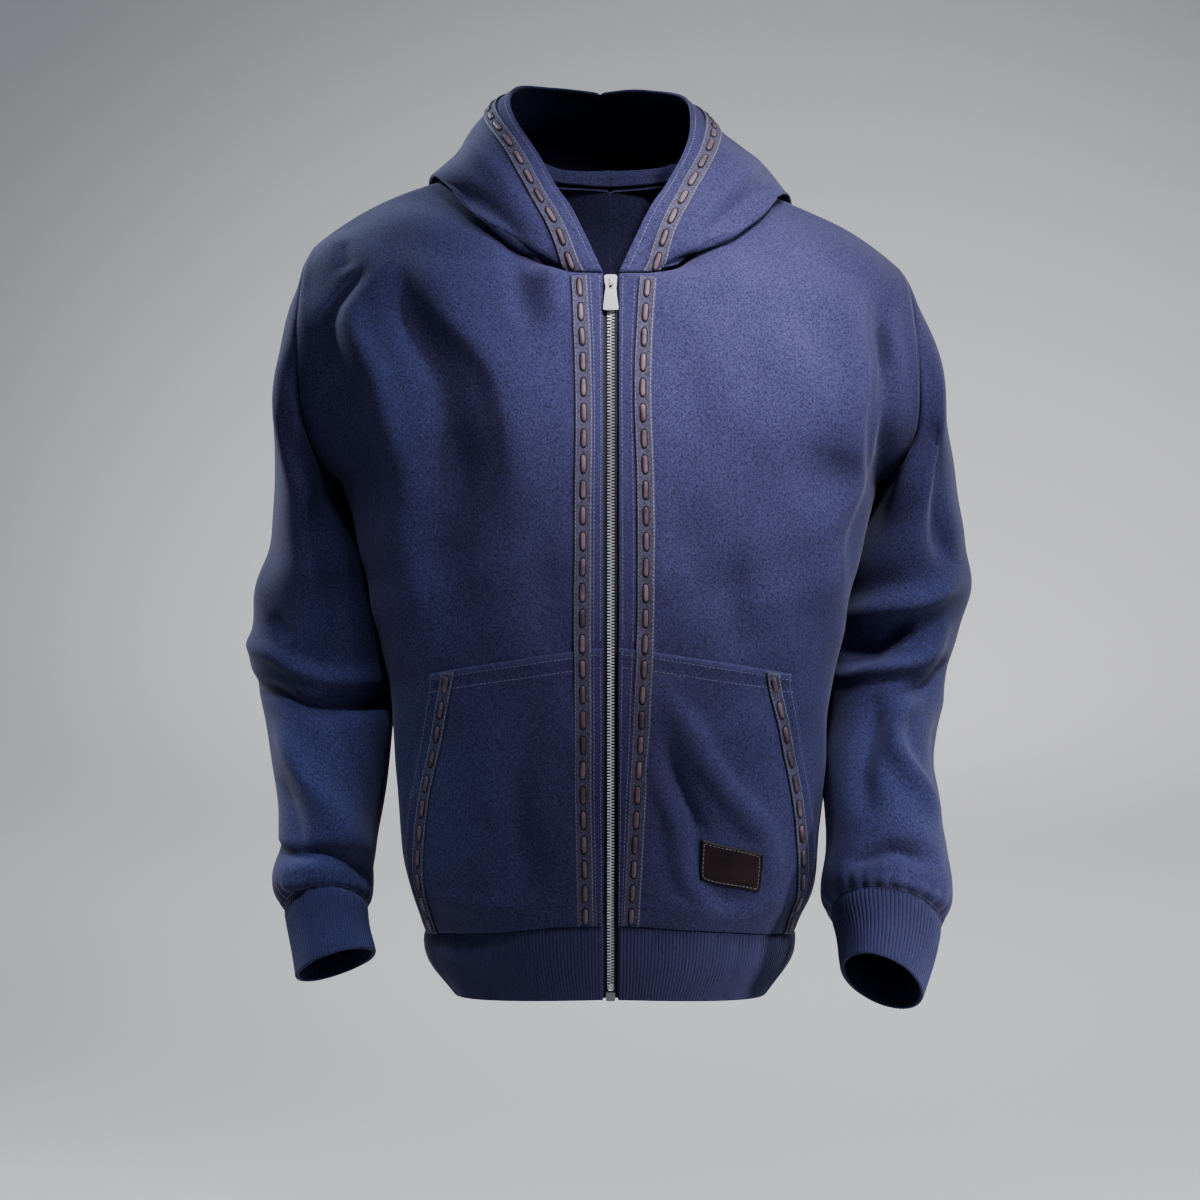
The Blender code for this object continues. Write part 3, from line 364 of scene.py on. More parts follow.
def front_columns(level, side, row_length):
    """Distances along a front row: band edges, pocket, pocket's band, side seam."""
    band = band_edges(level, side)
    edge = smooth_table(POCKET_EDGE, level)[0]
    pocket_band = [edge - POCKET_BAND_INSET - POCKET_BAND_WIDTH, edge - POCKET_BAND_INSET]
    between = np.linspace(band[1], pocket_band[0], POCKET_CELLS + 1)[1:-1]
    rest = np.linspace(edge, row_length, SIDE_CELLS + 1)[1:]
    return np.concatenate([[0.0], band, between, pocket_band, [edge], rest])


def sleeve_ring(row, side, turns):
    """An oval ring from its row in a sleeve table."""
    outer_x, outer_z, inner_x, inner_z, middle_y, depth, lift, spread = row
    reach = np.cos(turns)
    forward = np.sin(turns)
    x = (outer_x + inner_x) / 2 + reach * (outer_x - inner_x) / 2 + spread * forward ** 2
    z = (outer_z + inner_z) / 2 + reach * (outer_z - inner_z) / 2 + forward * lift
    return mirrored(np.stack([x, middle_y - forward * depth, z], axis=-1), side)


def neck_line():
    """The neck seam from the zip round to the centre back, on the wearer's left."""
    front, back = ([centre_end(face, level) for level in HIGH_LEVELS if level >= NECK[face]]
                   for face in NECK)
    return np.array(front + back[-2::-1])


def neck_point(position):
    """A point on the neck seam's polyline, lifted onto the edge of the body panels."""
    line = neck_line()
    point = read_line(line, np.arange(len(line)), position)
    point[2] += NECK_GAP + NECK_LIFT * smoothstep(position, 0.5, 3.0)
    return point


def hood_section(station):
    """The hood's section at a station: 0 at the front neck, 1 at the centre back."""
    first_stop = 2.0
    last_stop = len(neck_line()) - 1.0
    seam_start = np.array([neck_point(first_stop * k / 7.0) for k in range(7)])
    sections = [seam_start, *HOOD_SECTIONS]
    table = [(k / (len(sections) - 1.0), *section.ravel()) for k, section in enumerate(sections)]
    points = smooth_table(table, station).reshape(-1, 3)
    end = neck_point(first_stop + (last_stop - first_stop) * station)
    return smooth_polyline(np.vstack([points, end]))


# ---- creases
# By zone and facing, which is 1 at the front of the garment and -1 at its back. Each crease:
# (height mm, width mm, steepness, points (x, z) in mm as seen from the front). A height below
# 0 is a trough. Steepness is above 0 where the side to the +X of a falling line, or above a
# level one, is the sharp side.
FOLDS = {
    ("body", 1): [
        # right front: two long soft folds, with a broad valley between them
        (6.5, 12, 0, [(-84, -12), (-50, -70), (-34, -113)]),
        (-3.5, 10, 0, [(-98, -22), (-74, -70), (-58, -118)]),
        (-13, 24, 0, [(-176, -50), (-155, -115), (-137, -184), (-132, -260), (-138, -370)]),
        (8, 15, 0, [(-205, -70), (-212, -110), (-192, -175), (-174, -240), (-168, -305),
                    (-158, -375)]),
        (7, 17, -0.55, [(-182, -30), (-142, -84), (-107, -132), (-86, -190), (-80, -270)]),
        (-5.5, 9, 0, [(-203, -56), (-229, -106), (-239, -165)]),
        (-3.5, 8, 0, [(-234, -38), (-222, -66)]),
        (-3, 18, 0, [(-50, -230), (-56, -330), (-70, -380)]),
        (3.5, 11, 0, [(-185, -430), (-168, -520), (-166, -590)]),
        # left front: quieter
        (-3.5, 26, 0, [(70, -105), (60, -240), (90, -360)]),
        (3, 30, 0, [(150, -70), (138, -200), (128, -350)]),
        (-2.6, 13, 0, [(118, -240), (100, -320), (108, -385)]),
        (3.6, 13, 0, [(206, -200), (184, -280), (166, -375)]),
        (6.5, 13, 0.8, [(218, -56), (211.5, -110), (206.5, -162), (202.5, -205), (199, -250),
                        (195, -300), (188, -360)]),
        (-13.5, 8, 0, [(236, -74), (232, -125), (229, -172), (225, -210), (215, -250)]),
        (7.5, 7, -0.5, [(243, -94), (237.5, -125.7), (231.6, -155.1), (226.6, -180), (219.5, -210),
                        (208.5, -240)]),
        (3, 11, 0, [(186, -430), (176, -520), (166, -600)]),
        # pockets
        (5.5, 10, 0, [(-92, -470), (-104, -530), (-120, -583)]),
        (-5, 13, 0, [(-60, -420), (-75, -510), (-66, -590)]),
        (8, 10, 0.3, [(36, -408), (72, -448), (112, -506), (131, -545), (137, -592)]),
        (-7.5, 10, 0, [(46, -440), (70, -520), (94, -588)]),
        (6.5, 8, 0, [(38, -452), (56, -530), (64, -570), (82, -596)]),
        # above the hem seam, all round
        (3.2, 9, 0, [(-160, -588), (-100, -594), (-30, -590)]),
        (3.6, 9, 0, [(30, -592), (100, -598), (165, -596)]),
    ],
    ("body", -1): [
        (6, 15, 0, [(-160, -600), (-60, -616), (50, -612), (160, -600)]),
        (-3, 14, 0, [(-140, -560), (-40, -575), (90, -566)]),
        # back: pulls from the armpits, a soft middle hollow and drag lines to the hem
        (10, 16, 0, [(-225, -215), (-150, -260), (-70, -330)]),
        (-9, 15, 0, [(-215, -260), (-150, -330), (-100, -420)]),
        (9.5, 15, 0, [(225, -220), (160, -275), (85, -350)]),
        (-8.5, 14, 0, [(215, -265), (165, -350), (120, -430)]),
        (-3, 34, 0, [(10, -220), (0, -400)]),
        (8, 14, 0, [(-120, -380), (-95, -480), (-110, -575)]),
        (7.5, 15, 0, [(95, -390), (120, -500), (100, -585)]),
        (6.5, 14, 0, [(20, -440), (30, -540), (5, -600)]),
    ],
    ("sleeve_right", 1): [
        (7.9, 8.5, 0, [(-277, -140), (-268, -205), (-251, -280)]),
        (-7.3, 12.8, 0, [(-262, -215), (-240, -310), (-215, -385)]),
        (4.3, 10.2, 0, [(-302, -250), (-304, -320), (-296, -385)]),
        (7.5, 9, 0, [(-325, -386), (-296, -394), (-262, -408), (-226, -414), (-190, -410)]),
        (-9.5, 8.5, 0, [(-322, -422), (-296, -428), (-262, -437), (-214, -436), (-180, -430)]),
        (10.4, 12.8, 0, [(-292, -448), (-262, -486), (-228, -535), (-207, -580)]),
        (-4.9, 8.5, 0, [(-284, -500), (-268, -530), (-262, -560)]),
        (-4.3, 6.8, 0, [(-287, -360), (-270, -382)]),
        (-9.5, 7, 0.3, [(-300, -572), (-278, -562), (-245, -554), (-216, -566), (-196, -588)]),
        (7.3, 7.6, 0, [(-286, -584), (-248, -590), (-206, -600)]),
    ],
    ("sleeve_right", -1): [
        (9.8, 9.3, 0, [(-300, -395), (-260, -375), (-215, -385)]),
        (-11, 7.6, 0, [(-300, -425), (-262, -405), (-215, -415)]),
        (8.5, 8.5, 0, [(-290, -455), (-250, -440), (-210, -455)]),
        (7.3, 11.9, 0, [(-275, -200), (-250, -280), (-220, -330)]),
        (-9.2, 7.6, 0, [(-285, -550), (-245, -560), (-212, -552)]),
        (6.7, 7.6, 0, [(-284, -582), (-245, -590), (-210, -584)]),
    ],
    ("sleeve_left", 1): [
        (9.8, 7.6, 0, [(256, -100), (246, -150), (233, -195), (217, -250)]),
        (7.9, 6, 0, [(258, -120), (256, -175), (249, -230), (238, -280)]),
        (-6.1, 6, 0, [(247, -170), (240, -210), (228, -255)]),
        (-12.2, 9.3, 0.4, [(272, -180), (280, -250), (296, -312)]),
        (9.8, 10.2, 0, [(306, -318), (272, -334), (236, -348), (205, -362)]),
        (-15.9, 8.5, 0, [(262, -356), (248, -370), (226, -384), (198, -394)]),
        (11, 6.8, 0, [(190, -412), (221, -404), (251, -395), (270, -383), (298, -356)]),
        (-6.1, 6, 0, [(240, -424), (268, -408), (292, -390)]),
        (-9.8, 11.9, 0, [(222, -420), (218, -470), (212, -525)]),
        (10.4, 7.6, 0, [(262, -418), (240, -440), (244, -466), (266, -496), (280, -528)]),
        (-4.9, 7.6, 0, [(276, -430), (282, -470), (292, -500)]),
        (-11.6, 7.6, 0, [(194, -560), (230, -546), (276, -552)]),
        (7.3, 7.6, 0, [(194, -586), (236, -576), (286, -590)]),
    ],
    ("sleeve_left", -1): [
        (9.8, 9.3, 0, [(300, -370), (260, -352), (212, -365)]),
        (-11, 7.6, 0, [(298, -400), (255, -382), (206, -395)]),
        (8.5, 8.5, 0, [(286, -435), (245, -418), (200, -430)]),
        (7.3, 11.9, 0, [(280, -210), (255, -270), (222, -330)]),
        (-9.2, 7.6, 0, [(284, -548), (240, -552), (196, -545)]),
        (6.7, 7.6, 0, [(286, -582), (240, -586), (190, -578)]),
    ],
    ("hood", 1): [
        (-5, 9, 0, [(-150, 12), (-110, -6), (-65, -46)]),
        (5.5, 9, 0, [(-128, 46), (-92, 16), (-50, -34)]),
        (-5.5, 8, 0, [(150, 8), (105, -4), (60, -40)]),
        (5, 9, 0, [(134, 30), (96, 10), (58, -24)]),
        (-2.5, 12, 0, [(98, 70), (86, 44), (64, 10)]),
    ],
    ("hood", -1): [
        (6, 14, 0, [(-110, 30), (-80, -40), (-30, -90)]),
        (6, 14, 0, [(115, 25), (85, -45), (30, -100)]),
        (-4.5, 14, 0, [(-70, 50), (-45, -10), (-30, -60)]),
        (-4.5, 14, 0, [(60, 50), (45, -15), (20, -70)]),
    ],
}
PATCH_SPOT = (0.0985, -0.5550)   # the stiff patch keeps the cloth under it smooth
PATCH_CALM = (0.0330, 0.0250)


def polyline_distance(x, z, line):
    """Distance of each point from a line, how far along it the nearest place is, and its side."""
    nearest = np.full(x.shape, 1e9)
    share = np.zeros(x.shape)
    beside = np.zeros(x.shape)
    count = len(line) - 1
    for k, ((ax, az), (bx, bz)) in enumerate(zip(line[:-1], line[1:])):
        dx = bx - ax
        dz = bz - az
        t = np.clip(((x - ax) * dx + (z - az) * dz) / (dx * dx + dz * dz), 0.0, 1.0)
        distance = np.hypot(x - ax - t * dx, z - az - t * dz)
        closer = distance < nearest
        nearest = np.where(closer, distance, nearest)
        share = np.where(closer, (k + t) / count, share)
        beside = np.where(closer, np.sign(dx * (z - az) - dz * (x - ax)), beside)
    return nearest, share, beside


def crease_heights(cloth, zone):
    """How far the cloth stands out of its plain form at each point."""
    x, y, z = np.moveaxis(cloth.points, -1, 0)
    toward_back = cloth.normals[..., 1]
    # The crease lines wander a little, and the plain cloth is never quite even.
    sway_x = x + 0.0040 * np.sin(31.0 * z + 17.0 * y) + 0.0022 * np.sin(67.0 * z + 1.7)
    sway_z = z + 0.0040 * np.sin(29.0 * x + 13.0 * y + 0.6) + 0.0020 * np.sin(71.0 * x + 0.4)
    total = 0.0011 * np.sin(41.0 * x + 12.0 * np.sin(9.0 * z)) * np.sin(23.0 * z + 7.0 * y)
    total += 0.0006 * np.sin(83.0 * x + 37.0 * y + 51.0 * z)
    for facing in (1, -1):
        weight = smoothstep(-facing * toward_back, -0.30, 0.35)
        for height, width, steep, line in FOLDS[zone, facing]:
            points = [(a / 1000.0, 0.0, b / 1000.0) for a, b in line]
            curve = smooth_polyline(points, 4)[:, [0, 2]]
            distance, share, beside = polyline_distance(sway_x, sway_z, curve)
            taper = smoothstep(share, -0.05, 0.30) * (1.0 - smoothstep(share, 0.70, 1.05))
            breadth = width * 0.001 * (0.8 + 0.4 * share) * (1.0 - 0.65 * steep * beside)
            total += height * 0.001 * weight * taper * np.exp(-(distance / breadth) ** 2)
    if zone == "body":
        across = (x - PATCH_SPOT[0]) / PATCH_CALM[0]
        upward = (z - PATCH_SPOT[1]) / PATCH_CALM[1]
        total *= 1.0 - np.exp(-(across ** 4 + upward ** 4)) * (toward_back < 0)
    return total


# ---- fine grids
def sample(grid, row, column, ring=False):
    """Reads a grid of vectors at fractional rows and columns."""
    last_row = grid.shape[0] - 1
    row = np.clip(row, 0.0, last_row)
    i = np.minimum(row.astype(int), last_row - 1)
    s = (row - i)[..., None]
    if ring:
        column = np.mod(column, grid.shape[1])
        j = np.minimum(column.astype(int), grid.shape[1] - 1)
        k = (j + 1) % grid.shape[1]
    else:
        column = np.clip(column, 0.0, grid.shape[1] - 1)
        j = np.minimum(column.astype(int), grid.shape[1] - 2)
        k = j + 1
    t = (column - j)[..., None]
    low = grid[i, j] * (1 - t) + grid[i, k] * t
    high = grid[i + 1, j] * (1 - t) + grid[i + 1, k] * t
    return low * (1 - s) + high * s


class Cloth:
    """A fine grid of points with normals, read between its rows and columns."""

    def __init__(self, points, centre=(0.0, 0.0, -0.30), ring=False):
        self.points = points
        self.ring = ring
        self.centre = np.asarray(centre)
        self.face_out()

    def face_out(self):
        """Normals from each point's neighbours, on the side away from the centre."""
        grid = self.points
        across = np.gradient(grid, axis=1)
        if self.ring:
            across = (np.roll(grid, -1, axis=1) - np.roll(grid, 1, axis=1)) / 2.0
        normals = unit(np.cross(across, np.gradient(grid, axis=0)))
        turn = np.sign((normals * (grid - self.centre)).sum(axis=-1).mean())
        self.normals = normals * (turn or 1.0)

    def press(self, heights):
        self.points = self.points + self.normals * heights[..., None]
        self.face_out()

    def at(self, row, column, lift=0.0):
        """Points lifted off the cloth, and their normals."""
        row, column = np.broadcast_arrays(np.asarray(row, float), np.asarray(column, float))
        normal = unit(sample(self.normals, row, column, self.ring))
        point = sample(self.points, row, column, self.ring)
        return point + normal * np.asarray(lift)[..., None], normal

    def border_run(self, axis, last=False):
        """Distance of each point from the first or last row or column, along the cloth."""
        steps = np.linalg.norm(np.diff(self.points, axis=axis), axis=-1)
        zero = np.zeros_like(np.take(steps, [0], axis=axis))
        if last:
            steps = np.flip(steps, axis)
        run = np.concatenate([zero, np.cumsum(steps, axis=axis)], axis=axis)
        return np.flip(run, axis) if last else run


def seam_dip(run, depth=0.0014, reach=0.0035):
    """The soft dip of cloth into a seam."""
    return -depth * np.exp(-(run / reach) ** 2)


def rising(*parts):
    """All the values of the parts once, in rising order."""
    return np.array(sorted(set(np.round(np.concatenate(parts), 5))))


def fine_steps(counts, ends):
    """Positions along a row of cells, with extra ones close to both ends."""
    last = float(len(counts))
    even = [k + n / count for k, count in enumerate(counts) for n in range(count)]
    return rising(even, [last], ends, [last - e for e in ends])


FRONT_CELLS = fine_steps([4, 6, 11, 11, 11, 11, 6, 6, 16, 16, 16, 16], (0.03, 0.08, 0.18))
POCKET_FINE_CELLS = fine_steps([4, 6, 9, 9, 9, 9, 5, 5], (0.02, 0.05, 0.12))
HOOD_STEPS = fine_steps([6, 6] + [7] * HOOD_CELLS, (0.03, 0.08, 0.18))
HOOD_ROWS = 97
BODY_STEPS = rising(np.linspace(0.0, 1.0, 177), [0.0015, 0.004, 0.009, 0.9985, 0.996, 0.991])
BACK_SHARES = rising(np.linspace(0.0, 1.0, 76), [0.0015, 0.005, 0.995, 0.9985])
DENSE_SHAPE = (241, 161)         # rows and columns of a body panel's even grid
SLEEVE_ROWS = 12                 # fine rows between two rings of a sleeve's table
CUFF_ROWS = 7
HEM_ROWS = 6
RIB_ENDS = (0.02, 0.05, 0.10)    # extra rows close to a rib's two seams
RING_STEPS = 8                   # fine columns in each cell of a sleeve's ring
RIB_COLUMNS = 6                  # fine columns in each rib of a cuff
HEM_COLUMNS = 385                # fine columns in each quarter of the hem


def dense_rows(face):
    """A body panel read on an even grid of level and share of the row, and the row lengths."""
    rows = [body_row(face, level) for level in np.linspace(0.0, 1.0, DENSE_SHAPE[0])]
    lengths = np.array([length(row) for row in rows])
    shares = np.linspace(0.0, 1.0, DENSE_SHAPE[1])
    return np.array([along(row, shares * size) for row, size in zip(rows, lengths)]), lengths


DENSE = {face: dense_rows(face) for face in NECK}


def row_length(face, level):
    lengths = DENSE[face][1]
    return np.interp(level * (len(lengths) - 1), np.arange(len(lengths)), lengths)


def body_cloth(face, side):
    """A front or half the back: rows by level, columns from the centre to the side."""
    levels = BODY_STEPS
    is_front = face == "front"
    if is_front:
        distance = np.array([np.interp(FRONT_CELLS, np.arange(FRONT_MARKS),
                                       front_columns(v, side, row_length(face, v)))
                             for v in levels])
        near_top = smoothstep(levels, 0.12, POCKET_TOP) - smoothstep(levels, POCKET_TOP, 0.36)
        fall = np.interp(distance, (0.0, 0.15, 0.21), POCKET_TOP_FALL + (0.0,))
        fall = fall * near_top[:, None]
        fall[:, -1] = 0.0
    else:
        distance = row_length(face, levels)[:, None] * BACK_SHARES
        fall = 0.0 * distance
    at = levels[:, None] + fall
    points = DENSE[face][0]
    columns = distance / row_length(face, at) * (points.shape[1] - 1)
    points = sample(points, at * (points.shape[0] - 1), columns)
    cloth = Cloth(lean(mirrored(points, side)))
    joined = (levels <= NECK_BACK) & (not is_front)      # to the back's other half
    cloth.normals[joined, 0, 0] = 0.0
    heights = crease_heights(cloth, "body")
    from_middle = cloth.border_run(1)
    from_arm = cloth.border_run(1, last=True)
    from_top = cloth.border_run(0, last=True)
    above = smoothstep(levels, ARMPIT - 0.02, ARMPIT + 0.02)[:, None]
    keep = 1.0 - above * (1.0 - smoothstep(from_arm, 0.0, SEAM_CALM[face]))
    keep = keep * smoothstep(from_top, 0.0, 0.03)
    if is_front:
        keep = keep * (0.25 + 0.75 * smoothstep(from_middle, 0.0, 0.05))
    heights = heights * keep + seam_dip(from_arm) + seam_dip(from_top)
    heights = heights + seam_dip(cloth.border_run(0))
    if is_front:
        heights = heights + (levels >= NECK_FRONT)[:, None] * seam_dip(from_middle)
    cloth.press(heights)
    cloth.normals[joined, 0, 0] = 0.0
    cloth.points[joined, 0, 0] = 0.0
    return cloth


def armhole_ring(side):
    """The armhole ring at fine steps, and how far round each point is."""
    last = len(ARM_LEVELS) - 1
    points = []
    for spot in np.arange(2 * last * RING_STEPS) / RING_STEPS:
        level = float(np.interp(abs(last - spot), np.arange(last + 1), ARM_LEVELS))
        points.append(side_end("front" if spot <= last else "back", level))
    ring = lean(mirrored(np.array(points), side))
    low = ring.min(axis=0)
    high = ring.max(axis=0)
    _, y, z = ((ring - (low + high) / 2) / ((high - low) / 2)).T
    turns = np.arctan2(-y, z)
    turns[0] = 0.0
    turns = np.where(turns < -1e-6, turns + 2.0 * math.pi, turns)
    turns[len(ring) // 2] = math.pi
    return ring, turns


def refine_rows(grid, at):
    """Smooth rows between the rows of a grid, at fractional row numbers."""
    slopes = np.gradient(grid, axis=0)
    i = np.clip(np.floor(at).astype(int), 0, len(grid) - 2)
    t = (at - i)[:, None, None]
    return hermite(grid[i], grid[i + 1], slopes[i], slopes[i + 1], t)


def ring_cloth(points):
    return Cloth(points, points.mean(axis=1, keepdims=True), ring=True)


def sleeve_cloth(side):
    ring, turns = armhole_ring(side)
    even = np.arange(len(turns)) * 2.0 * math.pi / len(turns)
    rings = [ring]
    for k, row in enumerate(SLEEVE[side]):
        share = smoothstep(k + 1.0, 0.0, EVEN_RING)
        rings.append(sleeve_ring(row, side, turns + (even - turns) * share))
    steps = fine_steps([SLEEVE_ROWS] * len(SLEEVE[side]), (0.03, 0.07, 0.14))
    cloth = ring_cloth(refine_rows(np.array(rings), steps))
    from_arm = cloth.border_run(0)
    from_cuff = cloth.border_run(0, last=True)
    heights = crease_heights(cloth, "sleeve_" + side)
    heights = heights * smoothstep(from_arm, 0.0, 0.022) * smoothstep(from_cuff, 0.0, 0.012)
    # the cloth is gathered into the cuff
    gather = np.cos(even * 23.0 + 1.3 * np.sin(even * 3.0)) * smoothstep(from_cuff, 0.0, 0.003)
    heights = heights + 0.0009 * gather * np.exp(-(from_cuff / 0.016) ** 2)
    cloth.press(heights + seam_dip(from_arm) + seam_dip(from_cuff, 0.0018))
    return cloth


def ribbed(cloth, ribs, depth):
    """Raised lengthwise ribs of a knit; the count is round the whole piece."""
    columns = cloth.points.shape[1]
    wave = np.cos(2.0 * math.pi * np.arange(columns) * ribs / columns)
    heights = depth * np.sign(wave) * np.abs(wave) ** 0.7
    from_start = cloth.border_run(0)
    from_end = cloth.border_run(0, last=True)
    calm = smoothstep(from_start, 0.0, 0.003) * smoothstep(from_end, 0.0, 0.0025)
    cloth.press(heights[None, :] * calm + seam_dip(from_start, 0.0016))
    first = cloth.points[0]
    onward = unit(first - cloth.points[1])
    tucked = first + onward * 0.0022 - cloth.normals[0] * 0.0019      # under its neighbour
    cloth.points = np.concatenate([tucked[None], cloth.points])
    cloth.normals = np.concatenate([cloth.normals[:1], cloth.normals])
    return cloth


def cuff_cloth(side):
    count = CUFF_RIBS * RIB_COLUMNS
    turns = np.arange(count) * 2.0 * math.pi / count
    rings = [sleeve_ring(row, side, turns) for row in (SLEEVE[side][-1], *CUFF[side])]
    cloth = ring_cloth(refine_rows(np.array(rings), fine_steps([CUFF_ROWS] * 2, RIB_ENDS)))
    down = np.sin(2.2 * np.arange(len(cloth.points)) / CUFF_ROWS)[:, None]
    cloth.press(0.0010 * np.sin(3.0 * turns + 0.5) * down)
    return ribbed(cloth, CUFF_RIBS, 0.00042)


def hem_cloth():
    """The hem band from the right front edge round the back to the left front edge."""
    rings = []
    for index in range(3):
        rows = [hem_row(face, index) for face in NECK]
        front, back = (along(row, np.linspace(0, length(row), HEM_COLUMNS)) for row in rows)
        rings.append(np.concatenate([mirrored(front, "right"), mirrored(back, "right")[-2::-1],
                                     back[1:-1], front[::-1]]))
    points = refine_rows(np.array(rings), fine_steps([HEM_ROWS] * 2, RIB_ENDS))
    cloth = Cloth(points, points.mean(axis=1, keepdims=True) * [0.0, 0.0, 1.0])
    from_seam = cloth.border_run(0)
    fade = 1.0 - smoothstep(from_seam, 0.0, 0.03)
    roll = 0.0012 * np.sin(26.0 * points[..., 0] + 0.7)
    roll = roll * np.sin(np.pi * np.clip(from_seam / 0.07, 0, 1))
    cloth.press(crease_heights(cloth, "body") * fade + roll)
    return ribbed(cloth, HEM_RIBS, 0.00040)


def hood_cloth(side):
    rows = []
    for station in np.linspace(0.0, 1.0, HOOD_ROWS):
        section = hood_section(station)
        band = band_edges(NECK_FRONT, side, smoothstep(station, 0.0, 0.4))
        rest = np.linspace(band[1], length(section), HOOD_CELLS + 1)[1:]
        marks = np.concatenate([[0.0], band, rest])
        rows.append(along(section, np.interp(HOOD_STEPS, np.arange(len(marks)), marks)))
    points = lean(lean_hood(mirrored(np.array(rows), side)))
    cloth = Cloth(points, (0.0, 0.0, -0.05))
    cloth.normals[-1, :, 0] = 0.0
    from_middle = cloth.border_run(0, last=True)
    keep = smoothstep(cloth.border_run(1, last=True), 0.0, 0.02)
    keep = keep * smoothstep(from_middle, 0.0, 0.02) * smoothstep(cloth.border_run(1), 0.02, 0.06)
    cloth.press(crease_heights(cloth, "hood") * keep + seam_dip(from_middle, 0.0012))
    cloth.points[-1, :, 0] = points[-1, :, 0]
    return cloth


# ---- materials
def settings(node, values):
    for name, value in values.items():
        node.inputs[name].default_value = value


def new_material(name):
    material = bpy.data.materials.new(name)
    material.use_nodes = True
    tree = material.node_tree
    return material, tree, tree.nodes["Principled BSDF"]


def object_texture(tree, kind, values, stretch=None):
    """A texture in the object's own space."""
    source = tree.nodes.new("ShaderNodeTexCoord").outputs["Object"]
    texture = tree.nodes.new(kind)
    settings(texture, values)
    if stretch:
        mapping = tree.nodes.new("ShaderNodeMapping")
        mapping.inputs["Scale"].default_value = stretch
        tree.links.new(source, mapping.inputs["Vector"])
        source = mapping.outputs["Vector"]
    tree.links.new(source, texture.inputs["Vector"])
    return texture


def noise(tree, scale, detail, stretch=None):
    return object_texture(tree, "ShaderNodeTexNoise", {"Scale": scale, "Detail": detail},
                          stretch).outputs["Fac"]


def ramp(tree, source, low, high, positions=(0.35, 0.65)):
    """Colours between two ends by a texture's value."""
    node = tree.nodes.new("ShaderNodeValToRGB")
    for element, position, colour in zip(node.color_ramp.elements, positions, (low, high)):
        element.position = position
        element.color = (*colour, 1.0)
    tree.links.new(source, node.inputs["Fac"])
    return node.outputs["Color"]


def bump(tree, shader, sources, strengths, distance):
    """Chains bumps from several textures into the shader's normal."""
    previous = None
    for source, strength in zip(sources, strengths):
        node = tree.nodes.new("ShaderNodeBump")
        settings(node, {"Strength": strength, "Distance": distance})
        tree.links.new(source, node.inputs["Height"])
        if previous:
            tree.links.new(previous, node.inputs["Normal"])
        previous = node.outputs["Normal"]
    tree.links.new(previous, shader.inputs["Normal"])


def knit_material(name, low, high, grain, roughness, sheen, depth):
    """Soft knit: heathered grain, a fine nap and a soft sheen."""
    material, tree, shader = new_material(name)
    heather = noise(tree, grain, 3.0)
    fine = noise(tree, grain * 2.2, 3.0)
    colour = ramp(tree, heather, low, high, (0.30, 0.70))
    patches = ramp(tree, noise(tree, 7.0, 2.0), (0.86, 0.84, 0.90), (1.0, 1.0, 1.0), (0.3, 0.7))
    mix = tree.nodes.new("ShaderNodeMix")
    mix.data_type = "RGBA"
    mix.blend_type = "MULTIPLY"
    mix.inputs["Factor"].default_value = 1.0
    tree.links.new(colour, mix.inputs["A"])
    tree.links.new(patches, mix.inputs["B"])
    tree.links.new(mix.outputs["Result"], shader.inputs["Base Color"])
    settings(shader, {"Roughness": roughness, "Specular IOR Level": 0.25, "Sheen Weight": sheen,
                      "Sheen Roughness": 0.45, "Sheen Tint": (0.72, 0.70, 0.92, 1.0)})
    bump(tree, shader, [fine, heather], [0.45, 0.45], depth)
    return material


def metal_material(name, tone):
    material, tree, shader = new_material(name)
    settings(shader, {"Base Color": (tone, tone, tone * 1.02, 1.0), "Metallic": 1.0})
    rough = tree.nodes.new("ShaderNodeMapRange")
    settings(rough, {"To Min": 0.26, "To Max": 0.48})
    tree.links.new(noise(tree, 420.0, 3.0, (1.0, 1.0, 0.25)), rough.inputs["Value"])
    tree.links.new(rough.outputs["Result"], shader.inputs["Roughness"])
    return material


def leather_material(name, low, high, roughness):
    material, tree, shader = new_material(name)
    grain = object_texture(tree, "ShaderNodeTexVoronoi", {"Scale": 900.0}).outputs["Distance"]
    shade = noise(tree, 60.0, 4.0)
    tree.links.new(ramp(tree, shade, low, high), shader.inputs["Base Color"])
    settings(shader, {"Roughness": roughness, "Specular IOR Level": 0.12})
    bump(tree, shader, [grain, shade], [0.25, 0.2], 0.0004)
    return material


def thread_material(name, low, high):
    material, tree, shader = new_material(name)
    colour = ramp(tree, noise(tree, 1500.0, 2.0), low, high)
    tree.links.new(colour, shader.inputs["Base Color"])
    settings(shader, {"Roughness": 0.55, "Sheen Weight": 0.3})
    return material


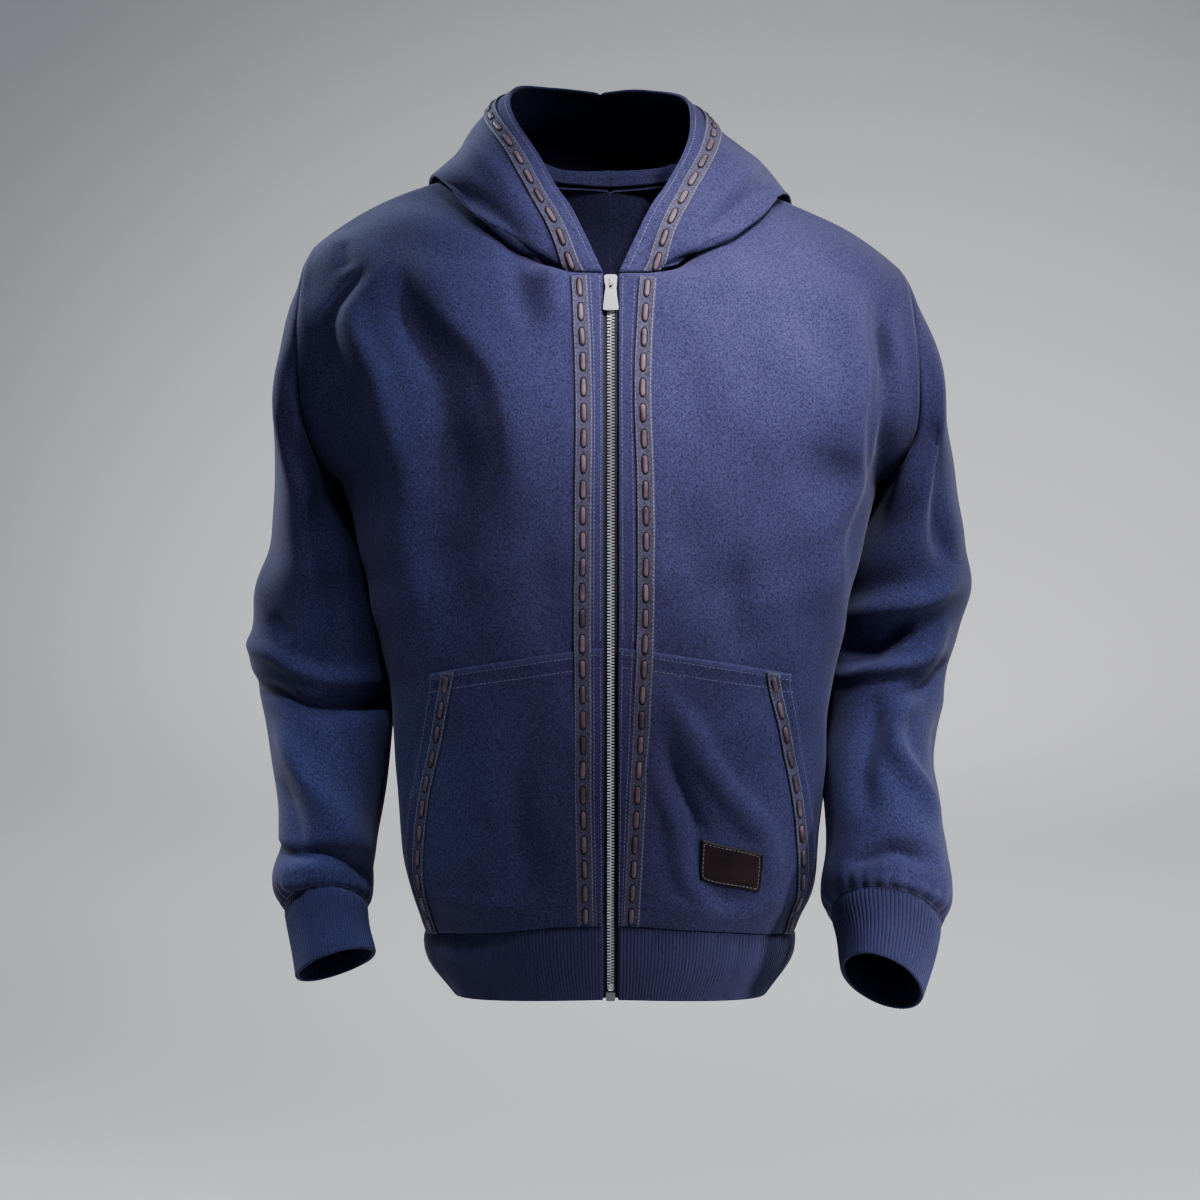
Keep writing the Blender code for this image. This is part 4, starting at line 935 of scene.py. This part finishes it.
LOOKS = {
    "fleece": knit_material("fleece_knit", (0.0040, 0.0044, 0.0185), (0.0250, 0.0240, 0.0800),
                            620.0, 0.92, 0.05, 0.00045),
    "rib": knit_material("rib_knit", (0.0045, 0.0050, 0.0190), (0.0215, 0.0215, 0.0700),
                         900.0, 0.92, 0.05, 0.00025),
    "band": knit_material("band_weave", (0.0130, 0.0115, 0.0240), (0.0440, 0.0400, 0.0740),
                          480.0, 0.85, 0.05, 0.00030),
    "tape": knit_material("tape_weave", (0.0030, 0.0030, 0.0080), (0.0080, 0.0080, 0.0180),
                          1400.0, 0.85, 0.0, 0.00014),
    # the slots: the real openings, coloured near black so that they also carry painted shade round
    # each lace
    "slot": knit_material("slot_and_painted_shade", (0.0012, 0.0011, 0.0032), (0.0035, 0.0032, 0.0080),
                          1400.0, 0.95, 0.0, 0.0001),
    "metal": metal_material("zip_metal", 0.44),
    "cast_metal": metal_material("slider_metal", 0.16),
    "leather": leather_material("patch_leather", (0.0040, 0.0018, 0.0022),
                                (0.0110, 0.0050, 0.0058), 0.46),
    "lace": leather_material("lace_suede", (0.036, 0.022, 0.029), (0.100, 0.066, 0.080), 0.42),
    "thread": thread_material("seam_thread", (0.013, 0.013, 0.042), (0.030, 0.030, 0.088)),
    "pale_thread": thread_material("band_thread", (0.040, 0.037, 0.062), (0.095, 0.090, 0.135)),
}


# ---- meshes
def add_object(name, vertices, faces, look, slot=None, smooth=True):
    data = bpy.data.meshes.new(name)
    data.from_pydata([tuple(v) for v in vertices], [], faces)
    data.validate()
    data.materials.append(LOOKS[look])
    if smooth:
        data.shade_smooth()
    thing = bpy.data.objects.new(name, data)
    bpy.context.scene.collection.objects.link(thing)
    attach(thing, "garment")
    return thing


RIM_SHARE = 0.45                 # of the wall's thickness, at a rim


def wall_mesh(cloth, wall):
    """Vertices and faces of a closed wall round a cloth, its rim a little rounded."""
    points, normals = cloth.points, cloth.normals
    rows, columns = points.shape[:2]
    half = np.full((rows, columns, 1), wall / 2.0)
    half[[0, -1]] *= RIM_SHARE
    if not cloth.ring:
        half[:, -1] *= RIM_SHARE
        half[np.abs(points[:, 0, 0]) > 1e-6, 0] *= RIM_SHARE    # the middle line joins two halves
    outer = (points + normals * half).reshape(-1, 3)
    inner = (points - normals * half).reshape(-1, 3)
    ids = np.arange(rows * columns).reshape(rows, columns)
    shift = rows * columns
    wide = np.hstack([ids, ids[:, :1]]) if cloth.ring else ids
    left = wide[:, :-1]
    right = wide[:, 1:]
    quads = np.stack([left[:-1], right[:-1], right[1:], left[1:]], axis=-1).reshape(-1, 4)
    faces = [quads, quads[:, ::-1] + shift]
    rims = [(wide[0], False), (wide[-1], True)]
    if not cloth.ring:
        rims += [(ids[:, 0], True), (ids[:, -1], False)]
    for loop, turned in rims:
        a = loop[:-1]
        b = loop[1:]
        rim = np.stack([b, a, a + shift, b + shift], axis=-1)
        faces.append(rim[:, ::-1] if turned else rim)
    faces = np.vstack(faces)
    facing = np.cross(points[1, 0] - points[0, 0], points[0, 1] - points[0, 0]) @ normals[0, 0]
    return np.vstack([outer, inner]), faces[:, ::-1] if facing > 0 else faces


def cloth_object(name, cloths, wall, look, node):
    """One closed wall from one cloth or more, in place of a node of the frame."""
    parts = [wall_mesh(cloth, wall) for cloth in cloths]
    vertices, faces = merge((some, quads.tolist()) for some, quads in parts)
    thing = add_object(name, vertices, faces, look)
    if len(cloths) > 1:
        weld = thing.modifiers.new("weld", "WELD")
        weld.merge_threshold = 0.0001
    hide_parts(node)
    return thing


def merge(parts):
    """Joins (vertices, faces) lists into one."""
    vertices = []
    faces = []
    base = 0
    for some, polygons in parts:
        vertices.append(some)
        faces += [[v + base for v in polygon] for polygon in polygons]
        base += len(some)
    return np.vstack(vertices), faces


def path_frames(cloth, path, lift, pitch):
    """Even places along a path on the cloth: points, directions along it and normals."""
    rows, columns = np.array(path, float).T
    points, normals = cloth.at(rows, columns, lift)
    run = run_of(points)
    count = int(run[-1] / pitch)
    at = (np.arange(count) + 0.5) * run[-1] / max(count, 1)
    before, after = (read_line(points, run, at + step * pitch) for step in (-0.25, 0.25))
    ahead = unit(after - before)
    normal = read_line(normals, run, at)
    normal = unit(normal - ahead * (normal * ahead).sum(axis=1, keepdims=True))
    return read_line(points, run, at), ahead, normal


def place_all(template, frames):
    """Copies of a small template, each turned into its frame (across, along, up)."""
    vertices, faces = template
    points, ahead, normal = (values[:, None] for values in frames)
    across = np.cross(ahead, normal)
    turned = vertices[:, 0:1] * across + vertices[:, 1:2] * ahead + vertices[:, 2:3] * normal
    shifts = range(0, len(points) * len(vertices), len(vertices))
    placed = [[v + shift for v in face] for shift in shifts for face in faces]
    return (turned + points).reshape(-1, 3), placed


def pill(long, wide, tall, steps, sides, ends=0.35):
    """A closed bar along the second axis; a higher value of ends rounds more of its length."""
    vertices = []
    for s in np.sin(np.linspace(-math.pi / 2, math.pi / 2, steps + 1))[1:-1]:
        thin = (1.0 - abs(s) ** (2.0 / ends)) ** 0.5
        for angle in 2.0 * math.pi * np.arange(sides) / sides:
            vertices.append((math.cos(angle) * wide / 2 * thin, s * long / 2,
                             math.sin(angle) * tall / 2 * thin))
    tips = len(vertices)
    vertices += [(0.0, -long / 2, 0.0), (0.0, long / 2, 0.0)]
    last = tips - sides
    faces = []
    for start in range(0, last, sides):
        for k in range(sides):
            a = start + k
            b = start + (k + 1) % sides
            faces.append([a, b, b + sides, a + sides])
    for k in range(sides):
        n = (k + 1) % sides
        faces += [[tips, n, k], [tips + 1, last + k, last + n]]
    return np.array(vertices), faces


STITCH = pill(0.0026, 0.00062, 0.00050, 4, 4)
STITCH_PITCH = 0.0034
LACE = pill(0.0146, 0.0041, 0.0020, 8, 10, 0.30)
SLOT_AND_SHADE = pill(0.0172, 0.0060, 0.0006, 8, 12, 0.45)      # a flat dark pill under each lace stitch: its slot opening, darkened further as painted shade of the lace
LACE_PITCH = 0.0212


def straight(start, end, count=60):
    """A path of (row, column) pairs between two ends."""
    return [(start[0] + (end[0] - start[0]) * k / count, start[1] + (end[1] - start[1]) * k / count)
            for k in range(count + 1)]


def stitches(name, lines, look, slot):
    """Rows of topstitching; each line is (cloth, lift, path)."""
    rows = [place_all(STITCH, path_frames(cloth, path, lift, STITCH_PITCH))
            for cloth, lift, path in lines]
    return add_object(name, *merge(rows), look, slot)


# ---- the garment
PANEL_LIFT = FLEECE / 2 + LAYER_GAP
# Each kind of main piece: its wall, look, flat size, area of the cut (None: the whole flat
# size), and the piece that it is sewn to.
MAIN_PIECES = {
    "front": (FLEECE, "fleece", (0.345, 0.690), 0.160, "back"),
    "sleeve": (FLEECE, "fleece", (0.470, 0.560), 0.205, "back"),
    "cuff": (RIB, "rib", (0.240, 0.062), None, "sleeve_{side}"),
    "hood": (HOOD_WALL, "fleece", (0.350, 0.340), 0.095, "back"),
    "hem": (RIB, "rib", (0.930, 0.070), None, "back"),
    "back": (FLEECE, "fleece", (0.640, 0.705), 0.360, "front_left"),
}


def build_main_cloth():
    """Fronts, back, sleeves, cuffs, hem and hood; returns their grids and objects by name."""
    cloths = {}
    for side in SIDES:
        cloths["front_" + side] = body_cloth("front", side)
        cloths["back_" + side] = body_cloth("back", side)
        cloths["sleeve_" + side] = sleeve_cloth(side)
        cloths["cuff_" + side] = cuff_cloth(side)
        cloths["hood_" + side] = hood_cloth(side)
    cloths["hem_rib"] = hem_cloth()
    grids = {name: [cloth] for name, cloth in cloths.items() if not name.startswith("back")}
    grids["back"] = [cloths["back_" + side] for side in SIDES]
    pieces = {}
    for name, parts in grids.items():
        wall, look = MAIN_PIECES[name.partition("_")[0]][:2]
        pieces[name] = cloth_object(name + "_cloth", parts, wall, look, name)
    return cloths, pieces


def build_pockets(cloths):
    """The pockets; returns their grids, and the place of their rows on the fronts."""
    pockets = {}
    top = place_in(BODY_STEPS, POCKET_TOP)
    rows = np.concatenate([[0.35, 0.8], np.linspace(1.4, top - 1.0, 60), [top - 0.5, top - 0.1]])
    columns = place_in(FRONT_CELLS, POCKET_FINE_CELLS)
    for side in SIDES:
        points, normal = cloths["front_" + side].at(rows[:, None], columns)
        base = Cloth(points)
        from_top = base.border_run(0, last=True)
        from_side = base.border_run(1, last=True)
        # turned edges at the top and the opening, and a middle that stands out
        puff = 0.0011 * np.exp(-((from_top - 0.0045) / 0.0040) ** 2)
        puff += 0.0010 * np.exp(-((from_side - 0.0050) / 0.0045) ** 2)
        puff += 0.0016 * smoothstep(from_side, 0.02, 0.06) * smoothstep(from_top, 0.015, 0.06)
        lift = PANEL_LIFT + FLEECE / 2 + puff
        pockets[side] = Cloth(points + normal * lift[..., None])
        thing = cloth_object("pocket_cloth_" + side, [pockets[side]], FLEECE, "fleece",
                             "pocket_" + side)
    return pockets, rows


def band_strip(cloth, rows, left, right, lift):
    """A narrow band between two columns, its edges a little raised and rolled."""
    shares = np.array([0.0, 0.03, 0.09, 0.16, 0.24, 0.36, 0.50, 0.64, 0.76, 0.84, 0.91, 0.97, 1.0])
    rim = np.exp(-((shares - 0.10) / 0.07) ** 2) + np.exp(-((shares - 0.90) / 0.07) ** 2)
    lifts = np.reshape(lift, (-1, 1)) + 0.00045 * rim
    points, _ = cloth.at(rows[:, None], left + (right - left) * shares, lifts)
    return Cloth(points, cloth.centre)


def lay_lace(name, band):
    """The lace's stitches along a band, each over a dark pill that is its slot and the lace's
    painted shade.
    """
    rows = band.points.shape[0]
    middle = (band.points.shape[1] - 1) / 2.0
    path = straight((0.0, middle), (rows - 1.0, middle), rows * 2)
    points, ahead, normal = path_frames(band, path, BAND_WALL / 2 + 0.0004, LACE_PITCH)
    tilt = 0.02 * np.sin(np.arange(len(points)) * 2.4)[:, None]
    leaning = unit(ahead + np.cross(ahead, normal) * tilt)
    under = points - normal * 0.0003
    lace = place_all(LACE, (points, leaning, normal))
    # painted shade: a near-black pill under each lace stands for its slot and for the lace's shadow
    slot_shades = place_all(SLOT_AND_SHADE, (under, leaning, normal))
    return [add_object(name, *lace, "lace", "band"),
            add_object(name + "_slots", *slot_shades, "slot", "band")]


def build_bands(cloths, pockets):
    """Lace bands on the fronts, the hood and the pockets."""
    bands = {}
    levels = np.linspace(0.0008, NECK_FRONT - 0.0008, 150)
    rise = 1.0 - smoothstep(levels, POCKET_TOP - 0.002, POCKET_TOP + 0.014)
    front_lift = PANEL_LIFT + BAND_WALL / 2 + rise * (FLEECE + LAYER_GAP)
    on_hood = HOOD_WALL / 2 + LAYER_GAP + BAND_WALL / 2
    for side in SIDES:
        pocket = pockets[side]
        bands["front_trim_" + side] = band_strip(
            cloths["front_" + side], place_in(BODY_STEPS, levels),
            place_in(FRONT_CELLS, 1.0) + 0.01, place_in(FRONT_CELLS, 2.0) - 0.01, front_lift)
        bands["hood_trim_" + side] = band_strip(
            cloths["hood_" + side], np.linspace(0.35, HOOD_ROWS - 1.1, 110),
            place_in(HOOD_STEPS, 1.0), place_in(HOOD_STEPS, 2.0), on_hood)
        bands["pocket_trim_" + side] = band_strip(
            pocket, np.linspace(0.6, len(pocket.points) - 1.6, 80),
            place_in(POCKET_FINE_CELLS, 6.0), place_in(POCKET_FINE_CELLS, 7.0),
            PANEL_LIFT + BAND_WALL / 2)
    for name, band in bands.items():
        kind, _, side = name.split("_")
        thing = cloth_object(name + "_band", [band], BAND_WALL, "band", name)
        lay_lace("lace_" + name, band)
    return bands


def build_patch(pocket, pocket_rows):
    """The leather patch, turned a little, on the left pocket."""
    distance, level = PATCH_PLACE
    rows, columns = 23, 33
    wide, high = PATCH_SIZE
    across = np.linspace(-0.5, 0.5, columns)[None, :]
    upward = np.linspace(-0.5, 0.5, rows)[:, None]
    step = 0.01                                      # of a level
    rise = [body_row("front", place)[0] for place in (level, level + step)]
    metres_per_level = length(np.array(rise)) / step
    u = across * wide
    v = upward * high
    marks = front_columns(level, "left", length(body_row("front", level)))
    cell = place_in(marks, distance + u * math.cos(PATCH_TURN) + v * math.sin(PATCH_TURN))
    levels = level + (v * math.cos(PATCH_TURN) - u * math.sin(PATCH_TURN)) / metres_per_level
    row = place_in(pocket_rows, place_in(BODY_STEPS, levels))
    edge = np.minimum((0.5 - np.abs(across)) * wide, (0.5 - np.abs(upward)) * high)
    dome = 0.0005 * smoothstep(edge, 0.0, 0.0022)
    dome = dome - 0.00045 * np.exp(-((edge - PATCH_INSET) / 0.0006) ** 2)
    lift = FLEECE / 2 + 1.6 * LAYER_GAP + PATCH_WALL / 2
    grid = Cloth(pocket.at(row, place_in(POCKET_FINE_CELLS, cell), lift + dome)[0])
    thing = cloth_object("leather_patch_piece", [grid], PATCH_WALL, "leather", "leather_patch")
    low = ((rows - 1) * PATCH_INSET / high, (columns - 1) * PATCH_INSET / wide)
    far = (rows - 1 - low[0], columns - 1 - low[1])
    corners = [low, (low[0], far[1]), far, (far[0], low[1])]
    lines = [(grid, PATCH_WALL / 2, straight(corners[k], corners[(k + 1) % 4])) for k in range(4)]
    sewn = stitches("patch_stitches", lines, "pale_thread", "leather")


def build_seams(cloths, pockets, bands):
    """Topstitching beside the seams, and along the bands' edges.

    The ends of each line are fine rows and columns of its grid.
    """
    plain = []
    pale = []

    def sew(cloth, start, end, count, lift=FLEECE / 2, lines=plain):
        lines.append((cloth, lift, straight(start, end, count)))

    armpit = place_in(BODY_STEPS, ARMPIT) + 2
    above_pocket = place_in(BODY_STEPS, POCKET_TOP) + 1.0
    neck = place_in(BODY_STEPS, NECK_FRONT) - 0.6
    above_hem = place_in(BODY_STEPS, 0.010)
    last = len(BODY_STEPS) - 1
    beside_zip = (0.22, 0.80)
    for side in SIDES:
        front = cloths["front_" + side]
        back = cloths["back_" + side]
        sleeve = cloths["sleeve_" + side]
        pocket = pockets[side]
        hood = cloths["hood_" + side]
        for column in place_in(FRONT_CELLS, beside_zip):
            sew(front, (above_pocket, column), (neck, column), 200)
        arm = place_in(FRONT_CELLS, 11.88)
        sew(front, (armpit, arm), (last - 2, arm), 150)
        edge = back.points.shape[1] - 1
        sew(back, (armpit, edge - 2.6), (last - 2, edge - 2.6), 150)
        near, far = place_in(FRONT_CELLS, (8.3, 11.9))
        sew(front, (above_hem, near), (above_hem, far), 100)
        sew(back, (above_hem, 1.0), (above_hem, edge - 2.0), 150)
        sew(back, (last - 3.0, 3.0), (last - 3.0, edge - 3.0), 80)
        rows, columns = sleeve.points.shape[:2]
        sew(sleeve, (rows - 4.6, 0.0), (rows - 4.6, columns - 0.01), 200)
        rows = pocket.points.shape[0]
        near, far = place_in(POCKET_FINE_CELLS, (0.15, 7.92))
        for row in (rows - 3.0, rows - 5.6):
            sew(pocket, (row, near), (row, far), 120)
        for column in place_in(POCKET_FINE_CELLS, beside_zip):
            sew(pocket, (0.8, column), (rows - 2.0, column), 120)
        column = place_in(POCKET_FINE_CELLS, 7.72)
        sew(pocket, (1.0, column), (rows - 2.0, column), 120)
        rim, near, far = place_in(HOOD_STEPS, (0.35, 2.2, 9.5))
        row = HOOD_ROWS - 2.4
        sew(hood, (1.0, rim), (HOOD_ROWS - 2.0, rim), 200, HOOD_WALL / 2)
        sew(hood, (row, near), (row, far), 120, HOOD_WALL / 2)
        for kind in ("front_trim_", "hood_trim_", "pocket_trim_"):
            band = bands[kind + side]
            rows = band.points.shape[0]
            for column in (1.75, 10.25):
                sew(band, (0.5, column), (rows - 1.5, column), rows, BAND_WALL / 2, pale)
    stitches("seam_stitches", plain, "thread", "fleece")
    stitches("band_stitches", pale, "pale_thread", "band")


TOOTH = (0.0035, 0.0012, 0.0024)     # across the chain, along it, through it
TOOTH_PITCH = 0.0026
TOOTH_NARROWING = 0.80               # at its inner end
TOOTH_BEVEL = 0.00032
TOOTH_OVERLAP = 0.00045              # past the middle, between the other row's teeth
CHAIN_ENDS = (0.0010, 0.0008)        # bare tape below and above the teeth
CHAIN_FORWARD = 0.0011               # how far the teeth stand out from the tapes' place


def tooth_template():
    """One metal tooth: a block with its edges cut off, narrower at its inner end."""
    mesh = bmesh.new()
    bmesh.ops.create_cube(mesh, size=1.0)
    for vertex in mesh.verts:
        narrow = TOOTH_NARROWING if vertex.co.x < 0 else 1.0
        vertex.co.x *= TOOTH[0]
        vertex.co.y *= TOOTH[1] * narrow
        vertex.co.z *= TOOTH[2] * narrow
    bmesh.ops.bevel(mesh, geom=mesh.edges[:], offset=TOOTH_BEVEL, segments=1, affect="EDGES")
    mesh.verts.index_update()
    vertices = np.array([vertex.co[:] for vertex in mesh.verts])
    faces = [[vertex.index for vertex in face.verts] for face in mesh.faces]
    mesh.free()
    return vertices, faces


def build_zip():
    """Teeth in place of the chain's bars; tapes, slider, pull tab and box take their finish."""
    low, high = (corner.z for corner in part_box("zip_teeth_left")[:2])
    levels = [v for v in LOW_LEVELS + HIGH_LEVELS if v <= NECK_FRONT]
    line = np.array([*HEM["front"][::-1, :2], *(centre_end("front", v)[1:] for v in levels)])
    vertices, faces = tooth_template()
    depth = RIB / 2 + LAYER_GAP - SEAM_GAP - CHAIN_FORWARD
    first, last = low + CHAIN_ENDS[0], high - CHAIN_ENDS[1]
    for side, sign in SIDES.items():
        z = np.arange(first, last, TOOTH_PITCH) + (TOOTH_PITCH / 2 if side == "right" else 0.0)
        z = z[z < last]
        y = np.interp(z, line[:, 1], line[:, 0])
        slope = np.gradient(y, z)
        one = np.ones_like(y)
        normal = unit(np.stack([0 * y, -one, slope], axis=-1))
        ahead = unit(np.stack([0 * y, slope, one], axis=-1))
        reach = (TOOTH[0] / 2 - TOOTH_OVERLAP) * sign
        points = np.stack([reach * one, y, z], axis=-1) - normal * depth
        turned = [face[::-1] for face in faces] if side == "right" else faces
        row = place_all((mirrored(vertices, side), turned), (points, ahead, normal))
        teeth = add_object("zip_teeth_row_" + side, *row, "metal", smooth=False)
        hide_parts("zip_teeth_" + side)
        finish_node("zip_tape_" + side, "tape")
    for name in ("zip_slider", "zip_pull", "zip_box"):
        finish_node(name, "cast_metal", 0.00045)


def finish_node(name, look, bevel=0.0):
    """Gives a CAD node its material and softly broken edges."""
    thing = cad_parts[name]
    thing.data.materials.clear()
    thing.data.materials.append(LOOKS[look])
    if bevel:
        edge = thing.modifiers.new("edges", "BEVEL")
        edge.width = bevel
        edge.segments = 3
        edge.limit_method = "ANGLE"
        edge.angle_limit = math.radians(35.0)


# ---- studio
def build_backdrop():
    """A pale bowl-shaped backdrop all round, open at the top, its colour painted darker towards the
    top as painted shade.
    """
    profile = [(0.0, -1.35), (5.2, -1.35), (6.4, -1.22), (7.4, -0.80), (8.0, 0.0), (8.3, 1.6),
               (8.4, 4.0), (8.4, 8.5)]
    steps = 96
    angles = [2.0 * math.pi * k / steps for k in range(steps)]
    vertices = [(radius * math.cos(a), radius * math.sin(a), z)
                for radius, z in profile for a in angles]
    faces = [[r * steps + k, r * steps + (k + 1) % steps, (r + 1) * steps + (k + 1) % steps,
              (r + 1) * steps + k] for r in range(len(profile) - 1) for k in range(steps)]
    data = bpy.data.meshes.new("backdrop")
    data.from_pydata(vertices, [], faces)
    data.shade_smooth()
    material, tree, shader = new_material("backdrop_paper")
    place = tree.nodes.new("ShaderNodeTexCoord")
    apart = tree.nodes.new("ShaderNodeSeparateXYZ")
    height = tree.nodes.new("ShaderNodeMapRange")
    settings(height, {"From Min": -1.4, "From Max": 1.6})
    tree.links.new(place.outputs["Object"], apart.inputs["Vector"])
    tree.links.new(apart.outputs["Z"], height.inputs["Value"])
    # painted shade: the backdrop's colour falls from pale at the floor to grey high up
    shade = ramp(tree, height.outputs["Result"], (0.86, 0.86, 0.88), (0.44, 0.44, 0.46), (0.0, 1.0))
    tree.links.new(shade, shader.inputs["Base Color"])
    settings(shader, {"Roughness": 1.0, "Specular IOR Level": 0.0})
    data.materials.append(material)
    thing = bpy.data.objects.new("backdrop", data)
    bpy.context.scene.collection.objects.link(thing)
    subdivision = thing.modifiers.new("smooth", "SUBSURF")
    subdivision.levels = 2
    subdivision.render_levels = 2


WARM = (1.0, 0.94, 0.95)
COOL = (0.66, 0.81, 1.0)
WHITE = (1.0, 1.0, 1.0)
# Soft-edged pools of light: name, place, target, cone in degrees, radius, watts, colour.
SPOTS = [
    ("key_high", (1.00, -1.9, 1.8), (0.088, -0.1, -0.06), 9.0, 0.10, 1240.0, WARM),
    ("key_low", (1.00, -1.7, 1.9), (0.112, -0.1, -0.29), 8.6, 0.10, 800.0, WARM),
    ("key_side", (2.1, -1.5, 1.0), (0.10, -0.1, -0.14), 10.5, 0.12, 200.0, WARM),
    ("rake", (2.3, -1.1, 1.1), (-0.200, -0.1, -0.12), 7.4, 0.10, 560.0, COOL),
    ("hood_light", (0.4, -2.0, 2.1), (0.09, -0.05, 0.03), 7.0, 0.10, 380.0, WARM),
    ("sweep", (2.0, -1.9, 0.4), (0.19, -0.1, -0.68), 8.0, 0.12, 760.0, WARM),
    ("over_left", (1.05, -1.3, 2.1), (0.275, -0.1, -0.48), 9.0, 0.08, 600.0, COOL),
    ("over_right", (-0.45, -1.5, 2.1), (-0.265, -0.1, -0.57), 8.4, 0.08, 640.0, COOL),
    ("back_key", (-2.1, 1.5, 1.7), (0.0, 0.1, -0.25), 19.0, 0.12, 700.0, COOL),
    ("glow_wall", (0.0, 2.2, 3.2), (0.5, 7.4, -1.1), 50.0, 0.6, 950.0, WHITE),
    ("glow_floor", (0.0, 2.2, 2.6), (0.8, 4.6, -1.35), 80.0, 0.6, 420.0, WHITE),
]
# Wide soft lights: name, place, target, size, watts, colour.
AREAS = [
    ("side", (2.6, -1.1, 0.7), (0.05, 0.0, -0.25), (0.5, 0.8), 22.0, COOL),
    ("top", (0.3, -0.6, 2.4), (0.05, 0.0, -0.2), (0.5, 0.5), 26.0, COOL),
    ("rim_right", (1.7, 1.25, 0.45), (0.2, 0.0, -0.25), (0.4, 1.8), 34.0, WHITE),
    ("rim_left", (-1.7, 1.15, 0.45), (-0.2, 0.0, -0.25), (0.4, 1.8), 34.0, WHITE),
    ("ceiling", (0.0, 1.5, 6.5), (0.0, 1.5, -1.0), (8.0, 8.0), 200.0, WHITE),
]


def lamp(name, kind, place, target, watts, colour):
    data = bpy.data.lights.new(name, kind)
    data.energy = watts
    data.color = colour
    thing = bpy.data.objects.new(name, data)
    thing.location = place
    thing.rotation_euler = (Vector(target) - Vector(place)).to_track_quat("-Z", "Y").to_euler()
    bpy.context.scene.collection.objects.link(thing)
    return data


def build_studio():
    build_backdrop()
    world = bpy.data.worlds.new("studio_air")
    world.use_nodes = True
    settings(world.node_tree.nodes["Background"], {"Color": (0.50, 0.64, 1.0, 1.0),
                                                   "Strength": 0.03})
    bpy.context.scene.world = world
    for name, place, target, cone, radius, watts, colour in SPOTS:
        light = lamp(name, "SPOT", place, target, watts, colour)
        light.spot_size = math.radians(cone)
        light.spot_blend = 1.0
        light.shadow_soft_size = radius
    for name, place, target, size, watts, colour in AREAS:
        light = lamp(name, "AREA", place, target, watts, colour)
        light.shape = "RECTANGLE"
        light.size, light.size_y = size


def build_camera():
    """A long lens in front of the garment's middle, looking a little down."""
    away = 3.0
    tilt = math.radians(6.0)
    aim_x, aim_z = -0.009, -0.348
    data = bpy.data.cameras.new("view")
    data.sensor_width = 36.0
    data.lens = 103.45
    lens = bpy.data.objects.new("view", data)
    lens.location = (aim_x, -away * math.cos(tilt), aim_z + away * math.sin(tilt))
    lens.rotation_euler = (math.radians(90.0) - tilt, 0.0, 0.0)
    bpy.context.scene.collection.objects.link(lens)
    bpy.context.scene.camera = lens


cloths, main_pieces = build_main_cloth()
pockets, pocket_rows = build_pockets(cloths)
bands = build_bands(cloths, pockets)
build_patch(pockets["left"], pocket_rows)
build_seams(cloths, pockets, bands)
build_zip()
build_studio()
build_camera()
